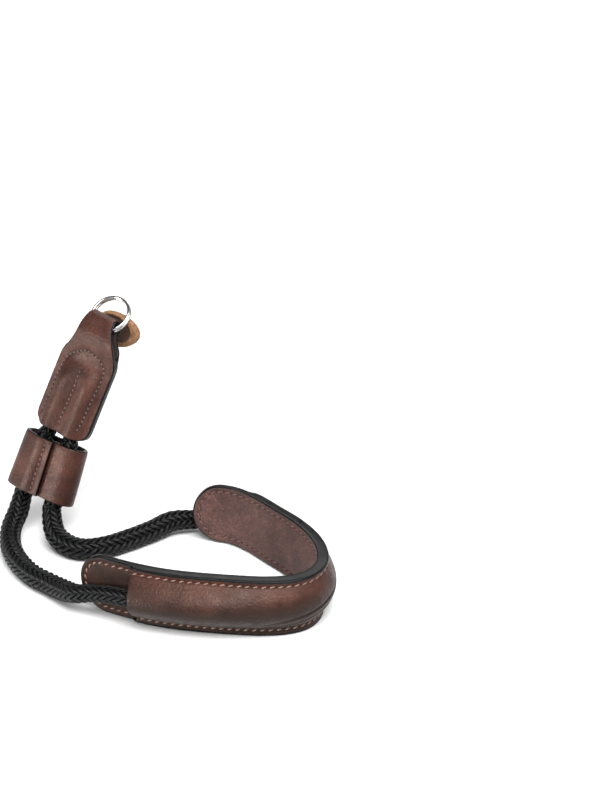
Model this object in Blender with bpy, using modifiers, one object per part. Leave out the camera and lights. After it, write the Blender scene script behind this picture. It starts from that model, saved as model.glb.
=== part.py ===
"""Leather and plaited rope wrist strap for a camera.

A split ring carries a folded leather head tab. Both ends of one plaited rope are sewn into
the tab, the two legs pass through a rolled leather slider, and the far bend of the loop runs
under the cover of a curved wrist pad. World origin: the centre of the split ring, +Z up.
Lengths are in metres, angles in degrees.
"""

import math

import bmesh
import bpy
from mathutils import Matrix, Vector

MM = 0.001

# Clearance between pieces that touch
SEAT_GAP = 0.30 * MM

# Split ring and the leather guard that lies behind it
RING_OUTER_D = 15.0 * MM
RING_WIRE_D = 1.1 * MM
RING_TURN_GAP = 0.15 * MM
RING_STEP_ANGLE = 36.0
GUARD_LENGTH = 20.0 * MM
GUARD_HEIGHT = 13.2 * MM
GUARD_THICK = 2.5 * MM
GUARD_SLIT_WIDTH = 3.0 * MM
GUARD_SLIT_HEIGHT = 4.6 * MM
GUARD_SLIT_FROM_EDGE = 1.8 * MM
GUARD_BOW = 0.8 * MM
GUARD_TURN = 37.0
GUARD_DROP = 6.7 * MM
GUARD_SIDE = -0.2 * MM
GUARD_NEARER = 5.3 * MM

# Head tab: one strip folded over the ring
TAB_LEATHER = 1.5 * MM
TAB_LENGTH = 45.7 * MM
TAB_CREST_WIDTH = 11.2 * MM
TAB_BODY_WIDTH = 22.6 * MM
TAB_SHOULDER = 18.5 * MM
TAB_CORNER_R = 4.2 * MM
TAB_LOOP_R = 1.9 * MM
TAB_LOOP_LENGTH = 3.6 * MM
TAB_CLOSE_LENGTH = 8.0 * MM
TAB_ROPE_START = 20.5 * MM
TAB_ROPE_FADE = 7.0 * MM
TAB_TWIST = 7.75
TAB_NECK_SHIFT = -0.3 * MM
TAB_NECK_LENGTH = 17.0 * MM
TAB_NECK_SWAY = 2.0 * MM
TAB_SWAY_AT = 7.0 * MM
TAB_CREASE = 0.25 * MM

# Plaited rope
ROPE_D = 7.0 * MM
ROPE_GAP = 0.42 * MM
ROPE_TAB_SQUEEZE = 0.77
ROPE_PAD_SQUEEZE = 0.90
ROPE_BEND_SQUEEZE = 0.72
ROPE_TAB_SPACING = 9.0 * MM
ROPE_SLIDER_SPACING = 13.0 * MM
ROPE_STRAIGHT = 3.5 * MM
ROPE_COVERED_FROM = 20.0 * MM
ROPE_STEPS = 80

# Rolled slider
SLIDER_LEATHER = 1.6 * MM
SLIDER_LENGTH = 20.9 * MM
SLIDER_TOP_GAP = 3.1 * MM
SLIDER_TURN = 4.0
SLIDER_WIDTH = 25.4 * MM
SLIDER_FLARE = 1.10
SLIDER_BORE_GAP = 0.35 * MM
SLIDER_LAP = 3.4 * MM
SLIDER_VALLEY = 0.6 * MM

# Wrist pad: lining, base and cover over the rope
PAD_WIDTH = 21.0 * MM
LINING_THICK = 1.0 * MM
BASE_THICK = 1.3 * MM
COVER_THICK = 1.1 * MM
LAYER_GAP = 0.30 * MM
COVER_INSET = 0.4 * MM
COVER_BULGE_WIDTH = 15.0 * MM
COVER_END_DISTANCE = 19.0 * MM
COVER_CREASE = 0.5 * MM
PAD_BEND_AT = 0.52
PAD_BEND_REACH = 0.26
PAD_CUP = 2.5 * MM
PAD_LEAN_FRONT = 0.0
PAD_LEAN_BACK = 9.0

# How the strap hangs: directions of the head tab and of the ring
FLOOR_Z = -76.0 * MM
TAB_LEAN_SIDE = 23.4
TAB_LEAN_BACK = 16.4
TAB_TURN = 31.5
RING_SWING = 29.2
RING_HINGE_DROP = 4.3 * MM

# Plan of the pad's middle layer, from its front left end round to its rear left end
PAD_PLAN = [
    (-6.5, -69.5),
    (0.5, -74.2),
    (10.0, -79.0),
    (24.0, -83.9),
    (41.5, -87.0),
    (57.5, -88.2),
    (67.8, -85.8),
    (73.2, -79.4),
    (74.1, -71.2),
    (71.3, -61.3),
    (65.5, -51.5),
    (58.0, -42.7),
    (51.1, -34.8),
    (44.2, -29.2),
    (36.8, -26.7),
    (29.2, -26.2),
]

# Free stretches of the rope, from the slider to the pad on each side
ROPE_LEFT_ROUTE = [
    (-34.6, -21.6, -68.2),
    (-36.4, -29.0, -71.2),
    (-35.4, -38.6, -72.3),
    (-31.4, -48.8, -72.4),
    (-25.2, -58.0, -72.4),
    (-17.4, -65.4, -72.2),
    (-8.8, -72.6, -71.0),
]
ROPE_RIGHT_ROUTE = [
    (21.4, -23.8, -71.2),
    (13.9, -29.0, -72.2),
    (6.1, -34.7, -72.4),
    (-1.6, -39.4, -72.4),
    (-9.4, -41.0, -72.4),
    (-16.0, -38.0, -71.8),
    (-20.4, -32.4, -70.2),
]

# Where the rope comes onto the pad: distance from its end, height and depth beyond its seat
ROPE_FRONT_MOUTH = [(2.0, -3.6, 1.2), (8.0, -1.7, 0.3), (14.0, -0.4, 0.0)]
ROPE_BACK_MOUTH = [(2.0, -5.2, 1.4), (8.0, -2.6, 0.4), (14.0, -0.6, 0.0)]

LEATHER_BROWN = (0.105, 0.048, 0.036, 1.0)
LINING_BROWN = (0.150, 0.070, 0.052, 1.0)
RAW_TAN = (0.420, 0.200, 0.090, 1.0)
ROPE_BLACK = (0.012, 0.012, 0.013, 1.0)
STEEL = (0.780, 0.770, 0.750, 1.0)


def clear_scene():
    for obj in list(bpy.data.objects):
        bpy.data.objects.remove(obj, do_unlink=True)


def new_collection(name):
    collection = bpy.data.collections.new(name)
    bpy.context.scene.collection.children.link(collection)
    return collection


def material(name, color, roughness, metallic=0.0):
    made = bpy.data.materials.new(name)
    made.use_nodes = True
    shader = made.node_tree.nodes["Principled BSDF"]
    shader.inputs["Base Color"].default_value = color
    shader.inputs["Roughness"].default_value = roughness
    shader.inputs["Metallic"].default_value = metallic
    made.diffuse_color = color
    return made


def smoothstep(value):
    value = min(max(value, 0.0), 1.0)
    return value * value * (3.0 - 2.0 * value)


def blend(start, end, share):
    return start + (end - start) * share


def smooth_path(points, count):
    """Evenly spaced points on a Catmull-Rom curve through the given ones."""
    padded = [points[0] * 2 - points[1], *points, points[-1] * 2 - points[-2]]
    fine = []
    for index in range(len(points) - 1):
        p0, p1, p2, p3 = padded[index : index + 4]
        for step in range(24):
            t = step / 24.0
            fine.append(
                0.5
                * (
                    2 * p1
                    + (p2 - p0) * t
                    + (2 * p0 - 5 * p1 + 4 * p2 - p3) * t**2
                    + (3 * p1 - p0 - 3 * p2 + p3) * t**3
                )
            )
    fine.append(points[-1].copy())
    return resample(fine, count)


def resample(fine, count):
    lengths = [0.0]
    for before, after in zip(fine, fine[1:]):
        lengths.append(lengths[-1] + (after - before).length)
    spaced = []
    index = 0
    for step in range(count):
        wanted = lengths[-1] * step / (count - 1)
        while index < len(fine) - 2 and lengths[index + 1] < wanted:
            index += 1
        share = (wanted - lengths[index]) / (lengths[index + 1] - lengths[index])
        spaced.append(fine[index].lerp(fine[index + 1], min(max(share, 0.0), 1.0)))
    return spaced


def path_length(points):
    return sum((after - before).length for before, after in zip(points, points[1:]))


def sheet_object(name, collection, rows, thickness, skin, bevel=0.0):
    """A sheet of leather: an open grid of points, thickened outward along its normals."""
    mesh = bpy.data.meshes.new(name)
    build = bmesh.new()
    grid = [[build.verts.new(point) for point in row] for row in rows]
    for below, above in zip(grid, grid[1:]):
        for left in range(len(below) - 1):
            build.faces.new((below[left], below[left + 1], above[left + 1], above[left]))
    build.to_mesh(mesh)
    build.free()
    mesh.shade_smooth()
    mesh.materials.append(skin)
    obj = bpy.data.objects.new(name, mesh)
    collection.objects.link(obj)
    solid = obj.modifiers.new("thickness", "SOLIDIFY")
    solid.thickness = thickness
    solid.offset = 1.0
    solid.use_even_offset = True
    if bevel:
        edge = obj.modifiers.new("rounded_edges", "BEVEL")
        edge.width = bevel
        edge.segments = 1
        edge.limit_method = "ANGLE"
        edge.angle_limit = math.radians(60.0)
    return obj


def even_spread(count):
    return [2.0 * step / (count - 1) - 1.0 for step in range(count)]


def edge_spread(count):
    """Positions from -1 to 1 that crowd towards both edges, for rounded ends."""
    return [math.sin(math.pi * (step / (count - 1) - 0.5)) for step in range(count)]


def strap_frame_matrix():
    """Frame of the tab and slider: +X across, +Y away, +Z up the tab, the ring's hinge at z 0."""
    up = Vector((math.tan(math.radians(TAB_LEAN_SIDE)), math.tan(math.radians(TAB_LEAN_BACK)), 1.0))
    up.normalize()
    front = Vector((0.0, -1.0, 0.0))
    front = (front - up * front.dot(up)).normalized()
    front = Matrix.Rotation(math.radians(-TAB_TURN), 3, up) @ front
    across = up.cross(front)
    turn = Matrix((across, -front, up)).transposed()
    origin = -ring_axes(turn)[1] * RING_HINGE_DROP - across * TAB_NECK_SHIFT
    return Matrix.Translation(origin) @ turn.to_4x4()


def ring_axes(turn):
    """Hinge direction, up direction and face direction of the ring in the world."""
    hinge = turn @ (Matrix.Rotation(math.radians(-TAB_TWIST), 3, "Z") @ Vector((1.0, 0.0, 0.0)))
    tab_up = turn @ Vector((0.0, 0.0, 1.0))
    up = Matrix.Rotation(math.radians(-RING_SWING), 3, hinge) @ tab_up
    return hinge, up, hinge.cross(up)


def split_ring(collection, frame, skin):
    """Two turns of wire: each turn lies flat, and one short step joins the layers."""
    mean_r = (RING_OUTER_D - RING_WIRE_D) / 2
    layer = (RING_WIRE_D + RING_TURN_GAP) / 2
    curve = bpy.data.curves.new("split_ring", "CURVE")
    curve.dimensions = "3D"
    curve.bevel_depth = RING_WIRE_D / 2
    curve.bevel_resolution = 2
    curve.use_fill_caps = True
    spline = curve.splines.new("POLY")
    steps = 88
    step_angle = math.radians(RING_STEP_ANGLE)
    sweep = 4 * math.pi - step_angle
    spline.points.add(steps)
    for index, point in enumerate(spline.points):
        angle = sweep * index / steps
        rise = smoothstep((angle - (2 * math.pi - step_angle)) / step_angle)
        around = angle + math.pi * 1.35
        height = blend(-layer, layer, rise)
        point.co = (mean_r * math.cos(around), mean_r * math.sin(around), height, 1.0)
    curve.materials.append(skin)
    ring = bpy.data.objects.new("split_ring", curve)
    collection.objects.link(ring)
    ring.parent = frame
    return ring


def lug_guard(collection, cutters, frame_matrix, skin):
    """Thick oval leather pad that hangs behind the ring, with a slit near its top."""
    face = frame_matrix.col[2].to_3d()
    away = math.radians(GUARD_TURN)
    facing = Vector((-math.sin(away), -math.cos(away), 0.0))
    level = Vector((math.cos(away), -math.sin(away), 0.0))
    stack = RING_WIRE_D + RING_TURN_GAP / 2
    tilt = abs(facing.dot(face))
    reach = RING_OUTER_D / 2 * math.sqrt(1 - tilt**2) + stack * tilt - GUARD_NEARER
    centre = level * GUARD_SIDE - facing * reach - Vector((0.0, 0.0, GUARD_DROP))
    turn = Matrix((level, Vector((0.0, 0.0, 1.0)), facing)).transposed().to_4x4()
    place = Matrix.Translation(centre) @ turn
    columns = edge_spread(15)
    rows = []
    for along in [1 - step / 6.0 for step in range(13)]:
        row = []
        for across in columns:
            x = along * math.sqrt(1 - 0.98 * across**2) * GUARD_LENGTH / 2
            y = across * GUARD_HEIGHT / 2
            bow = -GUARD_BOW * (2 * x / GUARD_LENGTH) ** 2
            row.append((x, y, bow - GUARD_THICK))
        rows.append(row)
    guard = sheet_object("lug_guard", collection, rows, GUARD_THICK, skin)
    guard.matrix_world = place
    bpy.ops.mesh.primitive_cylinder_add(vertices=20, radius=0.5, depth=4 * GUARD_THICK)
    cutter = bpy.context.object
    cutter.name = "lug_slit"
    for owner in list(cutter.users_collection):
        owner.objects.unlink(cutter)
    cutters.objects.link(cutter)
    slit_y = GUARD_HEIGHT / 2 - GUARD_SLIT_FROM_EDGE - GUARD_SLIT_HEIGHT / 2
    cutter.matrix_world = (
        place
        @ Matrix.Translation((0.0, slit_y, 0.0))
        @ Matrix.Diagonal((GUARD_SLIT_WIDTH, GUARD_SLIT_HEIGHT, 1.0, 1.0))
    )
    cutter.hide_render = True
    cutter.display_type = "WIRE"
    cut = guard.modifiers.new("slit", "BOOLEAN")
    cut.object = cutter
    cut.operation = "DIFFERENCE"
    cut.solver = "EXACT"
    return guard


def tab_half_width(depth):
    """Half width of the tab at a depth below its fold crest."""
    share = smoothstep(depth / TAB_SHOULDER)
    return blend(TAB_CREST_WIDTH, TAB_BODY_WIDTH, share) / 2


def tab_hinge_depth():
    return TAB_LOOP_R + TAB_LEATHER


def tab_gap(x, drop):
    """Half of the space between the two layers, at x across and a drop below the hinge."""
    border = SEAT_GAP / 2
    loop = blend(TAB_LOOP_R, border, smoothstep((drop - TAB_LOOP_LENGTH) / TAB_CLOSE_LENGTH))
    half_space = ROPE_TAB_SPACING / 2
    offset = abs(abs(x) - half_space) / (half_space * 0.98)
    peak = ROPE_D / 2 * ROPE_TAB_SQUEEZE + 1.5 * SEAT_GAP - border
    ridge = peak * math.cos(math.pi / 2 * min(offset, 1.7))
    ridge = (ridge + math.hypot(ridge, TAB_CREASE)) / 2
    start = TAB_ROPE_START - tab_hinge_depth()
    return loop + ridge * smoothstep((drop - start + TAB_ROPE_FADE) / TAB_ROPE_FADE)


def neck_line(drop):
    """Middle of the neck at a drop below the hinge: how far it bows forward, and its slope."""
    steep = math.tan(math.radians(RING_SWING))
    step = 0.01 * MM
    bow = [-steep * d * (1 - smoothstep(d / TAB_NECK_LENGTH)) for d in (drop, drop + step)]
    return bow[0], (bow[1] - bow[0]) / step


def neck_set(point, drop):
    """Twist, shift and sideways sway of the neck, fading out down the tab."""
    share = 1 - smoothstep(drop / TAB_NECK_LENGTH)
    turned = Matrix.Rotation(math.radians(-TAB_TWIST) * share, 3, "Z") @ point
    fade = 1 - smoothstep((drop - TAB_SWAY_AT) / (TAB_NECK_LENGTH - TAB_SWAY_AT))
    sway = TAB_NECK_SWAY * smoothstep(drop / TAB_SWAY_AT) * fade
    return turned + Vector((TAB_NECK_SHIFT * share + sway, 0.0, 0.0))


def head_tab(collection, frame, skin):
    """One strip: front layer up, round the loop over the ring, and down the back."""
    below = TAB_LENGTH - tab_hinge_depth()
    columns = [blend(even, bunched, 0.5) for even, bunched in zip(even_spread(21), edge_spread(21))]
    shares = [1 - step / 20.0 for step in range(21)]
    loop_steps = 10
    swing = math.radians(RING_SWING)
    up = Vector((0.0, math.sin(swing), math.cos(swing)))
    back = Vector((0.0, math.cos(swing), -math.sin(swing)))

    def corner(across):
        over = abs(across) * TAB_BODY_WIDTH / 2 - (TAB_BODY_WIDTH / 2 - TAB_CORNER_R)
        if over <= 0:
            return 0.0
        return TAB_CORNER_R - math.sqrt(max(TAB_CORNER_R**2 - over**2, 0.0))

    def layer_row(share, side):
        row = []
        for across in columns:
            drop = (below - corner(across)) * share
            x = across * tab_half_width(drop + tab_hinge_depth())
            bow, slope = neck_line(drop)
            normal = Vector((0.0, 1.0, slope)).normalized()
            point = Vector((x, bow, -drop)) + normal * side * tab_gap(x, drop)
            row.append(neck_set(point, drop))
        return row

    rows = [layer_row(share, -1) for share in shares]
    for step in range(1, loop_steps):
        angle = math.pi * step / loop_steps
        depth = tab_hinge_depth() - (TAB_LOOP_R + TAB_LEATHER) * math.sin(angle)
        row = []
        for across in columns:
            point = (up * math.sin(angle) - back * math.cos(angle)) * TAB_LOOP_R
            point.x = across * tab_half_width(depth)
            row.append(neck_set(point, 0.0))
        rows.append(row)
    rows += [layer_row(share, 1) for share in reversed(shares)]
    tab = sheet_object("head_tab", collection, rows, TAB_LEATHER, skin)
    tab.parent = frame
    return tab


def slider_section(flare):
    """Inner line of the rolled strip in plan, from its covered end round to the top flap."""
    rope_r = ROPE_D / 2 + SLIDER_BORE_GAP
    bend = SLIDER_WIDTH / 2 - SLIDER_LEATHER - rope_r
    lap = SLIDER_LAP
    valley = SLIDER_VALLEY
    over = SLIDER_LEATHER + SEAT_GAP
    line = [
        (-lap, -rope_r + 0.2 * valley),
        (-0.5 * lap, -rope_r + 0.8 * valley),
        (0.0, -rope_r + valley),
        (0.35 * bend, -rope_r + 0.6 * valley),
        (0.65 * bend, -rope_r + 0.1 * valley),
    ]
    for step in range(9):
        angle = math.pi * step / 8.0 - math.pi / 2
        line.append((bend + rope_r * math.cos(angle), rope_r * math.sin(angle)))
    line += [(0.5 * bend, rope_r), (0.0, rope_r), (-0.5 * bend, rope_r)]
    for step in range(8):
        angle = math.pi / 2 + math.pi * step / 8.0
        line.append((-bend + rope_r * math.cos(angle), rope_r * math.sin(angle)))
    line += [
        (-bend - 0.1 * rope_r, -rope_r - 0.1 * over),
        (-lap - 1.05 * over, -rope_r - 0.55 * over),
        (-lap + 0.1 * over, -rope_r - over),
        (-0.5 * lap, -rope_r - over + 0.8 * valley),
        (0.5 * lap, -rope_r - over + valley),
    ]
    return [Vector((x * flare, y, 0.0)) for x, y in line]


def slider_frame_matrix(tab_matrix):
    """Frame of the slider: +Z along the rope legs, origin at the middle of its top mouth."""
    top = Vector((0.0, 0.0, tab_hinge_depth() - TAB_LENGTH - SLIDER_TOP_GAP))
    turn = Matrix.Rotation(math.radians(-SLIDER_TURN), 4, "Y")
    return tab_matrix @ Matrix.Translation(top) @ turn


def slider(collection, frame, skin):
    """A leather strip rolled round both rope legs, its flap lapped over the middle."""
    rows = []
    for step in range(5):
        share = 1 - step / 4.0
        section = smooth_path(slider_section(blend(1.0, SLIDER_FLARE, share)), 60)
        rows.append([point - Vector((0.0, 0.0, SLIDER_LENGTH * share)) for point in section])
    made = sheet_object("slider", collection, rows, SLIDER_LEATHER, skin)
    made.parent = frame
    return made


class PadPath:
    """The pad's middle line on the floor, and its frame, which the rope cups at the bend."""

    def __init__(self):
        middle_z = FLOOR_Z + PAD_WIDTH / 2
        points = [Vector((x * MM, y * MM, middle_z)) for x, y in PAD_PLAN]
        self.line = smooth_path(points, 241)
        self.length = path_length(self.line)

    def place(self, share, height, outward):
        """A world point at a share of the length, a height up the pad and a depth outward."""
        position = min(max(share, 0.0), 1.0) * (len(self.line) - 1)
        index = min(int(position), len(self.line) - 2)
        middle = self.line[index].lerp(self.line[index + 1], position - index)
        before = self.line[max(index - 3, 0)]
        after = self.line[min(index + 4, len(self.line) - 1)]
        along = (after - before).normalized()
        out = Vector((along.y, -along.x, 0.0))
        lean = math.radians(blend(PAD_LEAN_FRONT, PAD_LEAN_BACK, smoothstep(share * 2 - 0.6)))
        up = Vector((0.0, 0.0, math.cos(lean))) + out * math.sin(lean)
        face = out * math.cos(lean) - Vector((0.0, 0.0, math.sin(lean)))
        arch = math.cos(math.pi / 2 * min(abs(height) / (PAD_WIDTH / 2), 1.0)) ** 2
        cup = PAD_CUP * pad_bend(share) * arch
        return middle + up * height + face * (outward - cup)


def pad_bend(share):
    """How far a share of the pad's length is into the wrist's bend: 1 at its middle."""
    return smoothstep(1 - abs(share - PAD_BEND_AT) / PAD_BEND_REACH)


def pad_total():
    return LINING_THICK + BASE_THICK + COVER_THICK + 2 * LAYER_GAP


def pad_rounded_strip(name, collection, path, inner, thickness, skin):
    """A layer of the pad with round ends."""
    columns = edge_spread(11)
    half = PAD_WIDTH / 2
    rows = []
    for step in range(43):
        even = 1 - step / 21.0
        along = blend(even, math.sin(math.pi / 2 * even), 0.25)
        row = []
        for across in columns:
            reach = path.length / 2 - half * (1 - math.sqrt(max(1 - across**2, 0.0)))
            share = 0.5 + along * reach / path.length
            row.append(path.place(share, across * half, inner))
        rows.append(row)
    return sheet_object(name, collection, rows, thickness, skin)


def base_outer():
    return -pad_total() / 2 + LINING_THICK + LAYER_GAP + BASE_THICK


def pad_rope_r(share):
    """Rope radius at a share of the pad's length: pressed flatter round the wrist's bend."""
    return ROPE_D / 2 * blend(ROPE_PAD_SQUEEZE, ROPE_BEND_SQUEEZE, pad_bend(share))


def cover_rise(height, share):
    """Inner height of the cover above the base, at a height from the pad's middle."""
    peak = 2 * (pad_rope_r(share) + ROPE_GAP) - LAYER_GAP
    rise = peak * math.cos(math.pi / 2 * min(abs(height) / (COVER_BULGE_WIDTH / 2), 1.6))
    return LAYER_GAP + (rise + math.hypot(rise, COVER_CREASE)) / 2


def pad_cover(collection, path, skin):
    """Leather sewn along both edges and arched over the rope, open at both ends."""
    half = PAD_WIDTH / 2 - COVER_INSET
    rows = []
    start = COVER_END_DISTANCE / path.length
    for step in range(37):
        share = blend(1 - start, start, step / 36.0)
        row = []
        for column in range(21):
            height = (column / 10.0 - 1) * half
            row.append(path.place(share, height, base_outer() + cover_rise(height, share)))
        rows.append(row)
    return sheet_object("pad_cover", collection, rows, COVER_THICK, skin)


def rope_route(path, tab_matrix, slider_matrix):
    """Route points of the rope with the rope's radius at each, from one sewn end to the other."""
    drop_start = TAB_ROPE_START - tab_hinge_depth()
    tab_end = TAB_LENGTH - tab_hinge_depth()
    in_tab = ROPE_TAB_SPACING / 2
    in_slider = ROPE_SLIDER_SPACING / 2
    free_r = ROPE_D / 2
    tab_r = free_r * ROPE_TAB_SQUEEZE
    sewn = [
        (drop_start, tab_r),
        (blend(drop_start, tab_end, 0.5), tab_r),
        (tab_end - ROPE_D / 2, tab_r),
        (tab_end + 0.1 * ROPE_D, tab_r),
    ]
    rolled = [
        (blend(in_tab, in_slider, 0.30), 0.0, blend(tab_r, free_r, 0.8)),
        (blend(in_tab, in_slider, 0.55), 0.3 * SLIDER_LENGTH, free_r),
        (blend(in_tab, in_slider, 0.80), 0.65 * SLIDER_LENGTH, free_r),
        (in_slider, SLIDER_LENGTH, free_r),
        (in_slider, SLIDER_LENGTH + ROPE_STRAIGHT, free_r),
    ]

    def leg(side):
        points = [(tab_matrix @ Vector((side * in_tab, 0.0, -drop)), r) for drop, r in sewn]
        points += [(slider_matrix @ Vector((side * x, 0.0, -z)), r) for x, z, r in rolled]
        return points

    def on_pad(share, height, beyond):
        r = pad_rope_r(share)
        return path.place(share, height, base_outer() + ROPE_GAP + r + beyond), r

    inner = ROPE_COVERED_FROM / path.length
    front = [on_pad(s * MM / path.length, h * MM, b * MM) for s, h, b in ROPE_FRONT_MOUTH]
    back = [on_pad(1 - s * MM / path.length, h * MM, b * MM) for s, h, b in ROPE_BACK_MOUTH]
    covered = [on_pad(blend(inner, 1 - inner, step / 24.0), 0.0, 0.0) for step in range(25)]
    return [
        *leg(-1),
        *[(Vector(point) * MM, free_r) for point in ROPE_LEFT_ROUTE],
        *front,
        *covered,
        *reversed(back),
        *[(Vector(point) * MM, free_r) for point in ROPE_RIGHT_ROUTE],
        *reversed(leg(1)),
    ]


def rope(collection, path, tab_matrix, slider_matrix, skin):
    """One plaited rope, squeezed a little where it is sewn in."""
    route = rope_route(path, tab_matrix, slider_matrix)
    line = smooth_path([Vector((*point, r)) for point, r in route], ROPE_STEPS)
    curve = bpy.data.curves.new("rope", "CURVE")
    curve.dimensions = "3D"
    curve.bevel_depth = ROPE_D / 2
    curve.bevel_resolution = 2
    curve.use_fill_caps = True
    spline = curve.splines.new("POLY")
    spline.points.add(len(line) - 1)
    for point, (x, y, z, r) in zip(spline.points, line):
        point.co = (x, y, z, 1.0)
        point.radius = r / curve.bevel_depth
    curve.materials.append(skin)
    made = bpy.data.objects.new("rope", curve)
    collection.objects.link(made)
    return made


def main():
    clear_scene()
    parts = new_collection("camera_wrist_strap")
    cutters = new_collection("cutters")
    leather = material("brown_leather", LEATHER_BROWN, 0.45)
    lining = material("lining_leather", LINING_BROWN, 0.75)
    raw = material("raw_edge_leather", RAW_TAN, 0.85)
    cord = material("plaited_cord", ROPE_BLACK, 0.60)
    steel = material("polished_steel", STEEL, 0.18, 1.0)

    tab_matrix = strap_frame_matrix()
    strap_frame = bpy.data.objects.new("strap_frame", None)
    strap_frame.matrix_world = tab_matrix
    parts.objects.link(strap_frame)
    hinge, up, face = ring_axes(tab_matrix.to_3x3())
    ring_matrix = Matrix((hinge, up, face)).transposed().to_4x4()
    ring_frame = bpy.data.objects.new("ring_frame", None)
    ring_frame.matrix_world = ring_matrix
    parts.objects.link(ring_frame)

    path = PadPath()
    split_ring(parts, ring_frame, steel)
    lug_guard(parts, cutters, ring_matrix, raw)
    head_tab(parts, strap_frame, leather)
    slider_matrix = slider_frame_matrix(tab_matrix)
    slider_frame = bpy.data.objects.new("slider_frame", None)
    slider_frame.matrix_world = slider_matrix
    parts.objects.link(slider_frame)
    slider(parts, slider_frame, leather)
    inner = -pad_total() / 2
    pad_rounded_strip("pad_lining", parts, path, inner, LINING_THICK, lining)
    base_inner = inner + LINING_THICK + LAYER_GAP
    pad_rounded_strip("pad_base", parts, path, base_inner, BASE_THICK, leather)
    pad_cover(parts, path, leather)
    rope(parts, path, tab_matrix, slider_matrix, cord)


main()
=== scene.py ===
import bisect
import math
import random

import bpy
from mathutils import Matrix, Vector

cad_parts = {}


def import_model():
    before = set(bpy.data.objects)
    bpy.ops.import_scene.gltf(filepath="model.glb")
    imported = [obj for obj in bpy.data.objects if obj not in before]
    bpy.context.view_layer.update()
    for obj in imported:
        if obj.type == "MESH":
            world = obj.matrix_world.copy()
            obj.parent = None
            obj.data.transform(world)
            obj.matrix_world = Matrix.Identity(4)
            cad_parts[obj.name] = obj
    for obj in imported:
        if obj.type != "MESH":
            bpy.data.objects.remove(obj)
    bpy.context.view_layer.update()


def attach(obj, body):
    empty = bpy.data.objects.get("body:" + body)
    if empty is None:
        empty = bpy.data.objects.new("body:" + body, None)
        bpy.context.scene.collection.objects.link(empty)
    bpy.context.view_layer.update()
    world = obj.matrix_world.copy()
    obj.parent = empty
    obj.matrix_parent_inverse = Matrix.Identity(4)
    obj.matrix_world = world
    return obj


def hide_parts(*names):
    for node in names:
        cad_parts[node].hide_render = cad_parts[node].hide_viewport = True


# The looks of the wrist strap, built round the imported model. Lengths in metres, angles in
# degrees. The sizes down to ROPE_BACK_MOUTH repeat the part's, except the last two points of
# ROPE_LEFT_ROUTE, which ease the rope into the cover. The sizes after them are this file's own.

MM = 0.001

SEAT_GAP = 0.30 * MM

RING_OUTER_D = 15.0 * MM
RING_WIRE_D = 1.1 * MM
RING_TURN_GAP = 0.15 * MM
RING_STEP_ANGLE = 36.0
RING_START_ANGLE = 243.0
GUARD_LENGTH = 20.0 * MM
GUARD_HEIGHT = 13.2 * MM
GUARD_THICK = 2.5 * MM
GUARD_SLIT_WIDTH = 3.0 * MM
GUARD_SLIT_HEIGHT = 4.6 * MM
GUARD_SLIT_FROM_EDGE = 1.8 * MM
GUARD_BOW = 0.8 * MM
GUARD_TURN = 37.0
GUARD_DROP = 6.7 * MM
GUARD_SIDE = -0.2 * MM
GUARD_NEARER = 5.3 * MM

TAB_LEATHER = 1.5 * MM
TAB_LENGTH = 45.7 * MM
TAB_CREST_WIDTH = 11.2 * MM
TAB_BODY_WIDTH = 22.6 * MM
TAB_SHOULDER = 18.5 * MM
TAB_CORNER_R = 4.2 * MM
TAB_LOOP_R = 1.9 * MM
TAB_LOOP_LENGTH = 3.6 * MM
TAB_CLOSE_LENGTH = 8.0 * MM
TAB_ROPE_START = 20.5 * MM
TAB_ROPE_FADE = 7.0 * MM
TAB_TWIST = 7.75
TAB_NECK_SHIFT = -0.3 * MM
TAB_NECK_LENGTH = 17.0 * MM
TAB_NECK_SWAY = 2.0 * MM
TAB_SWAY_AT = 7.0 * MM
TAB_CREASE = 0.25 * MM

ROPE_D = 7.0 * MM
ROPE_GAP = 0.42 * MM
ROPE_TAB_SQUEEZE = 0.77
ROPE_PAD_SQUEEZE = 0.90
ROPE_BEND_SQUEEZE = 0.72
ROPE_TAB_SPACING = 9.0 * MM
ROPE_SLIDER_SPACING = 13.0 * MM
ROPE_STRAIGHT = 3.5 * MM
ROPE_COVERED_FROM = 20.0 * MM

SLIDER_LEATHER = 1.6 * MM
SLIDER_LENGTH = 20.9 * MM
SLIDER_TOP_GAP = 3.1 * MM
SLIDER_TURN = 4.0
SLIDER_WIDTH = 25.4 * MM
SLIDER_FLARE = 1.10
SLIDER_BORE_GAP = 0.35 * MM
SLIDER_LAP = 3.4 * MM
SLIDER_VALLEY = 0.6 * MM

PAD_WIDTH = 21.0 * MM
LINING_THICK = 1.0 * MM
BASE_THICK = 1.3 * MM
COVER_THICK = 1.1 * MM
LAYER_GAP = 0.30 * MM
COVER_INSET = 0.4 * MM
COVER_BULGE_WIDTH = 15.0 * MM
COVER_CREASE = 0.5 * MM
PAD_BEND_AT = 0.52
PAD_BEND_REACH = 0.26
PAD_CUP = 2.5 * MM
PAD_LEAN_FRONT = 0.0
PAD_LEAN_BACK = 9.0

FLOOR_Z = -76.0 * MM
TAB_LEAN_SIDE = 23.4
TAB_LEAN_BACK = 16.4
TAB_TURN = 31.5
RING_SWING = 29.2
RING_HINGE_DROP = 4.3 * MM

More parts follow.
